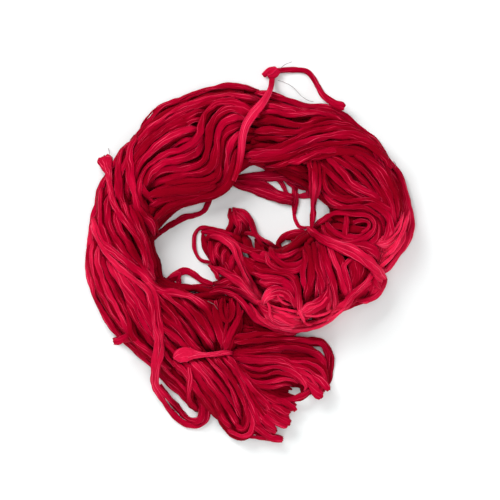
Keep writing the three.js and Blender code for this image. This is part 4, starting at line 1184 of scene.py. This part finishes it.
# The knot's two bights: x, y, z, width and thickness
KNOT = (
    ((14, 143.5, 4, 6, 5), (18, 145, 5, 9, 8), (22, 148.5, 4.5, 7, 6)),
    ((10.5, 143.8, 2, 4, 3.6), (15, 147.5, 4, 5, 5), (20, 149.5, 4, 4, 4.5)),
)


def cord(name, rng, pile, settle, materials):
    """A loose end or tie: a free ribbon on its route, with its width and thickness along it."""
    far_end, slot, folds, fray, tone, on_top = CORD_FACTS[name]
    route = even(smooth(CORDS[name]), LAY_STEP)
    if on_top:
        below = settle.top(pile, route[:, :2], 0.8 * route[:, 3])
        lifted = np.maximum(route[:, 2], smooth_line(widest(below, 1), 2) + 0.35 * route[:, 4])
        sink = EMERGE_DEPTH * sunk(len(route), both_ends=False, length=EMERGE_LENGTH)
        route[:, 2] = lifted - (sink if name in DIVING else 0)
    yarn = Yarn(name + "_ribbon", folds)
    path = np.column_stack((route[:, :3], np.zeros(len(route))))
    yarn.ribbon(path, route[:, 3], route[:, 4], rng, tone, twist=0.2, fray=fray, wander=0.07)
    piece = yarn.mesh(None, materials[slot], replaces=name, slot=slot)


def tie_knot(rng, material):
    """The small overhand knot in the tie beside the bundle's top edge."""
    yarn = Yarn("knot_ribbon", 4)
    for rows in KNOT:
        route = even(smooth(rows), FINE_STEP)
        path = np.column_stack((route[:, :3], np.zeros(len(route))))
        yarn.ribbon(path, route[:, 3], route[:, 4], rng, tone=0.6, twist=0.5)
    return yarn.mesh(None, material, replaces="tie_knot", slot="tie_silk")


# The shader's own values
CLOTH = {
    "Roughness": 0.55, "Sheen Weight": 0.08, "Sheen Roughness": 0.4, "Sheen Tint": (1.0, 0.05, 0.2, 1),
    "Specular IOR Level": 0.03, "Specular Tint": (1.0, 0.08, 0.2, 1),
}
# The cloth's unevenness: how drawn out across, along and up, how fine, and how detailed
PLEATS = ((7, 6, 1), 1.5, 3.0)
FIBRES = ((34, 30, 1), 2.0, 3.0)
CRINKLE = ((4, 45, 1), 1.5, 3.0)
DYE = ((2, 4, 1), 1.0, 2.0)
# Each cloth's colours: deep as painted shade between its folds, light on them, and at their edges;
# the edge colour is partly the raw edges' own paler fibres and partly painted highlight on the ridges
CRIMSON = ((0.222, 0.0005, 0.008, 1), (0.45, 0.001, 0.027, 1), (0.97, 0.07, 0.16, 1))
BRIGHT = ((0.31, 0.0005, 0.01, 1), (0.56, 0.005, 0.045, 1), (0.97, 0.075, 0.17, 1))
GREY = ((0.2, 0.17, 0.17, 1), (0.3, 0.27, 0.27, 1), (0.4, 0.37, 0.37, 1))
COLOUR_PLACES = (0.18, 0.42, 0.8)
# Above the usual tone the cloth turns to these brighter copies of its colours, until it is all of them at the
# palest;
# partly paler cloth and partly painted highlight
USUAL_TONE = 0.5
PALEST_TONE = 3.0
VIVID = ((0.45, 0.002, 0.025, 1), (0.82, 0.016, 0.075, 1), (1.0, 0.12, 0.23, 1))


def silk(name, deep, light, edge):
    """Crumpled silk: pale fold edges, partly raw edges and partly painted highlight, painted shade in pleat
    hollows, uneven dye and a faint sheen.
    """
    material = bpy.data.materials.new(name)
    material.use_nodes = True
    tree = material.node_tree
    tree.nodes.clear()
    link = tree.links.new
    out = tree.nodes.new("ShaderNodeOutputMaterial")
    shader = tree.nodes.new("ShaderNodeBsdfPrincipled")
    for socket, value in CLOTH.items():
        shader.inputs[socket].default_value = value
    link(shader.outputs[0], out.inputs[0])
    place = tree.nodes.new("ShaderNodeUVMap")
    place.uv_map = "UVMap"
    kinds = (PLEATS, FIBRES, CRINKLE, DYE)
    pleats, fibres, crinkle, dye = [stretched_noise(tree, place, *kind) for kind in kinds]
    bump = tree.nodes.new("ShaderNodeBump")
    bump.inputs["Strength"].default_value = 0.65
    bump.inputs["Distance"].default_value = MM
    link(sum_of(tree, ((pleats, 1.0), (fibres, 0.22), (crinkle, 0.3))), bump.inputs["Height"])
    link(bump.outputs[0], shader.inputs["Normal"])
    tone, crest = attribute(tree, "tone"), attribute(tree, "crest")
    usual = maths(tree, "MINIMUM", tone, USUAL_TONE)
    # Painted light in the colour: the pleats' hollows get painted shade, the fold edges a painted highlight
    # besides
    # their own paler fibres, and the tone brings the painted shade and highlight of the groups and the
    # patches
    shade = sum_of(tree, ((pleats, 0.35), (dye, 0.25), (usual, 0.1), (crest, 0.5)))
    paler = maths(tree, "DIVIDE", maths(tree, "SUBTRACT", tone, USUAL_TONE), PALEST_TONE - USUAL_TONE)
    mix = tree.nodes.new("ShaderNodeMix")
    mix.data_type = "RGBA"
    mix.clamp_factor = True
    link(paler, mix.inputs[0])
    link(ramp_of(tree, shade, deep, light, edge), mix.inputs[6])
    link(ramp_of(tree, shade, *VIVID), mix.inputs[7])
    link(mix.outputs[2], shader.inputs["Base Color"])
    return material


def ramp_of(tree, shade, deep, light, edge):
    """The cloth's colour from its shade, through three colours."""
    ramp = tree.nodes.new("ShaderNodeValToRGB")
    first, last = ramp.color_ramp.elements
    first.position, middle_place, last.position = COLOUR_PLACES
    first.color = deep
    last.color = edge
    ramp.color_ramp.elements.new(middle_place).color = light
    tree.links.new(shade, ramp.inputs[0])
    return ramp.outputs[0]


def maths(tree, operation, value, other):
    """A value and a number put together."""
    node = tree.nodes.new("ShaderNodeMath")
    node.operation = operation
    node.inputs[1].default_value = other
    tree.links.new(value, node.inputs[0])
    return node.outputs[0]


def attribute(tree, name):
    """A value that the mesh holds at each point."""
    made = tree.nodes.new("ShaderNodeAttribute")
    made.attribute_name = name
    return made.outputs["Fac"]


def stretched_noise(tree, place, scale, size, detail):
    """Noise on the ribbon's own surface, drawn out along or across it."""
    stretch = tree.nodes.new("ShaderNodeMapping")
    stretch.inputs["Scale"].default_value = scale
    tree.links.new(place.outputs[0], stretch.inputs[0])
    noise = tree.nodes.new("ShaderNodeTexNoise")
    noise.inputs["Scale"].default_value = size
    noise.inputs["Detail"].default_value = detail
    noise.inputs["Roughness"].default_value = 0.6
    tree.links.new(stretch.outputs[0], noise.inputs["Vector"])
    return noise.outputs[0]


def sum_of(tree, terms):
    """The sum of some values, each times its share."""
    total = None
    for value, share in terms:
        step = tree.nodes.new("ShaderNodeMath")
        step.operation = "MULTIPLY_ADD"
        step.inputs[1].default_value = share
        tree.links.new(value, step.inputs[0])
        if total is None:
            step.inputs[2].default_value = 0
        else:
            tree.links.new(total, step.inputs[2])
        total = step.outputs[0]
    return total


def camera():
    """Looks straight down, framed as the photograph is at the height of the skein's middle."""
    data = bpy.data.cameras.new("camera")
    data.lens = LENS
    data.sensor_width = SENSOR
    made = bpy.data.objects.new("camera", data)
    bpy.context.scene.collection.objects.link(made)
    across = PHOTO_SIDE * PHOTO_PIXEL * MM
    height = across / 2 / math.tan(math.atan(data.sensor_width / 2 / data.lens)) + FOCUS_HEIGHT
    x = (PHOTO_SIDE / 2 - PHOTO_MIDDLE[0]) * PHOTO_PIXEL - LAYOUT_CENTRE[0]
    y = (PHOTO_MIDDLE[1] - PHOTO_SIDE / 2) * PHOTO_PIXEL - LAYOUT_CENTRE[1]
    made.location = (x * MM, y * MM, height)
    bpy.context.scene.camera = made


# Soft lights that face the middle: place in metres, size and power
LIGHTS = {
    "key": ((-0.56, 0.74, 0.9), 0.65, 13.5),
    "overhead": ((0, 0, 2.4), 1.6, 20),
    "low_front": ((-0.35, -1.35, 0.5), 0.7, 9.5),
    "low_right": ((1.25, -0.35, 0.42), 0.7, 8),
}
SURROUND_LIGHT = 0.31
FLOOR_REACH = 3
FLOOR_COLOUR = (0.82, 0.845, 0.845, 1)


def area_light(name, place, size, power):
    """A square soft light turned to the middle."""
    data = bpy.data.lights.new(name, "AREA")
    data.size = size
    data.energy = power
    made = bpy.data.objects.new(name, data)
    bpy.context.scene.collection.objects.link(made)
    made.location = place
    made.rotation_euler = Vector(-np.array(place)).to_track_quat("-Z", "Y").to_euler()


def stage():
    """A pale floor and a plain white surround."""
    mesh = bpy.data.meshes.new("floor")
    corners = [(x * FLOOR_REACH, y * FLOOR_REACH, 0) for x, y in ((-1, -1), (1, -1), (1, 1), (-1, 1))]
    mesh.from_pydata(corners, [], [(0, 1, 2, 3)])
    floor = bpy.data.objects.new("floor", mesh)
    bpy.context.scene.collection.objects.link(floor)
    material = bpy.data.materials.new("floor")
    material.use_nodes = True
    shader = material.node_tree.nodes["Principled BSDF"]
    shader.inputs["Base Color"].default_value = FLOOR_COLOUR
    shader.inputs["Roughness"].default_value = 0.9
    mesh.materials.append(material)
    world = bpy.data.worlds.new("surround")
    world.use_nodes = True
    world.node_tree.nodes["Background"].inputs[0].default_value = (1, 1, 1, 1)
    world.node_tree.nodes["Background"].inputs[1].default_value = SURROUND_LIGHT
    bpy.context.scene.world = world
    bpy.context.scene.view_settings.view_transform = "Standard"


def all_turns(rng, pile):
    """The whole skein's yarn, laid from the surface up."""
    layers = [seen_turns(rng, pile, "lowest", UNDER, dive=0), sheer_ribbon(rng, pile)]
    bulk = [Yarn("inner_turns_1", 2), Yarn("inner_turns_2", 2)]
    lanes(rng, pile, bulk)
    layers += bulk
    for name, routes in SEEN.items():
        if name in DOUBLED:
            layers.append(under_turns(rng, pile, name + "_under", routes))
        layers += [shaped_turn(shape, rng, pile) for shape in SHAPES_BEFORE.get(name, ())]
        layers.append(seen_turns(rng, pile, name, routes))
    return layers


def main():
    """Makes the whole scene."""
    camera()
    stage()
    for name, (place, size, power) in LIGHTS.items():
        area_light(name, place, size, power)
    crimson = silk("crimson_silk", *CRIMSON)
    bright = silk("tie_silk", *BRIGHT)
    grey = silk("grey_thread", *GREY)
    rng = np.random.default_rng(SEED)
    pile = Pile()
    layers = all_turns(rng, pile)
    settle = Settling(pile)
    for yarn in layers:
        yarn.mesh(settle, crimson)
    threads(rng, grey)
    knot = tie_knot(rng, bright)
    materials = {"silk": crimson, "tie_silk": bright}
    for name in CORDS:
        cord(name, rng, pile, settle, materials)


main()
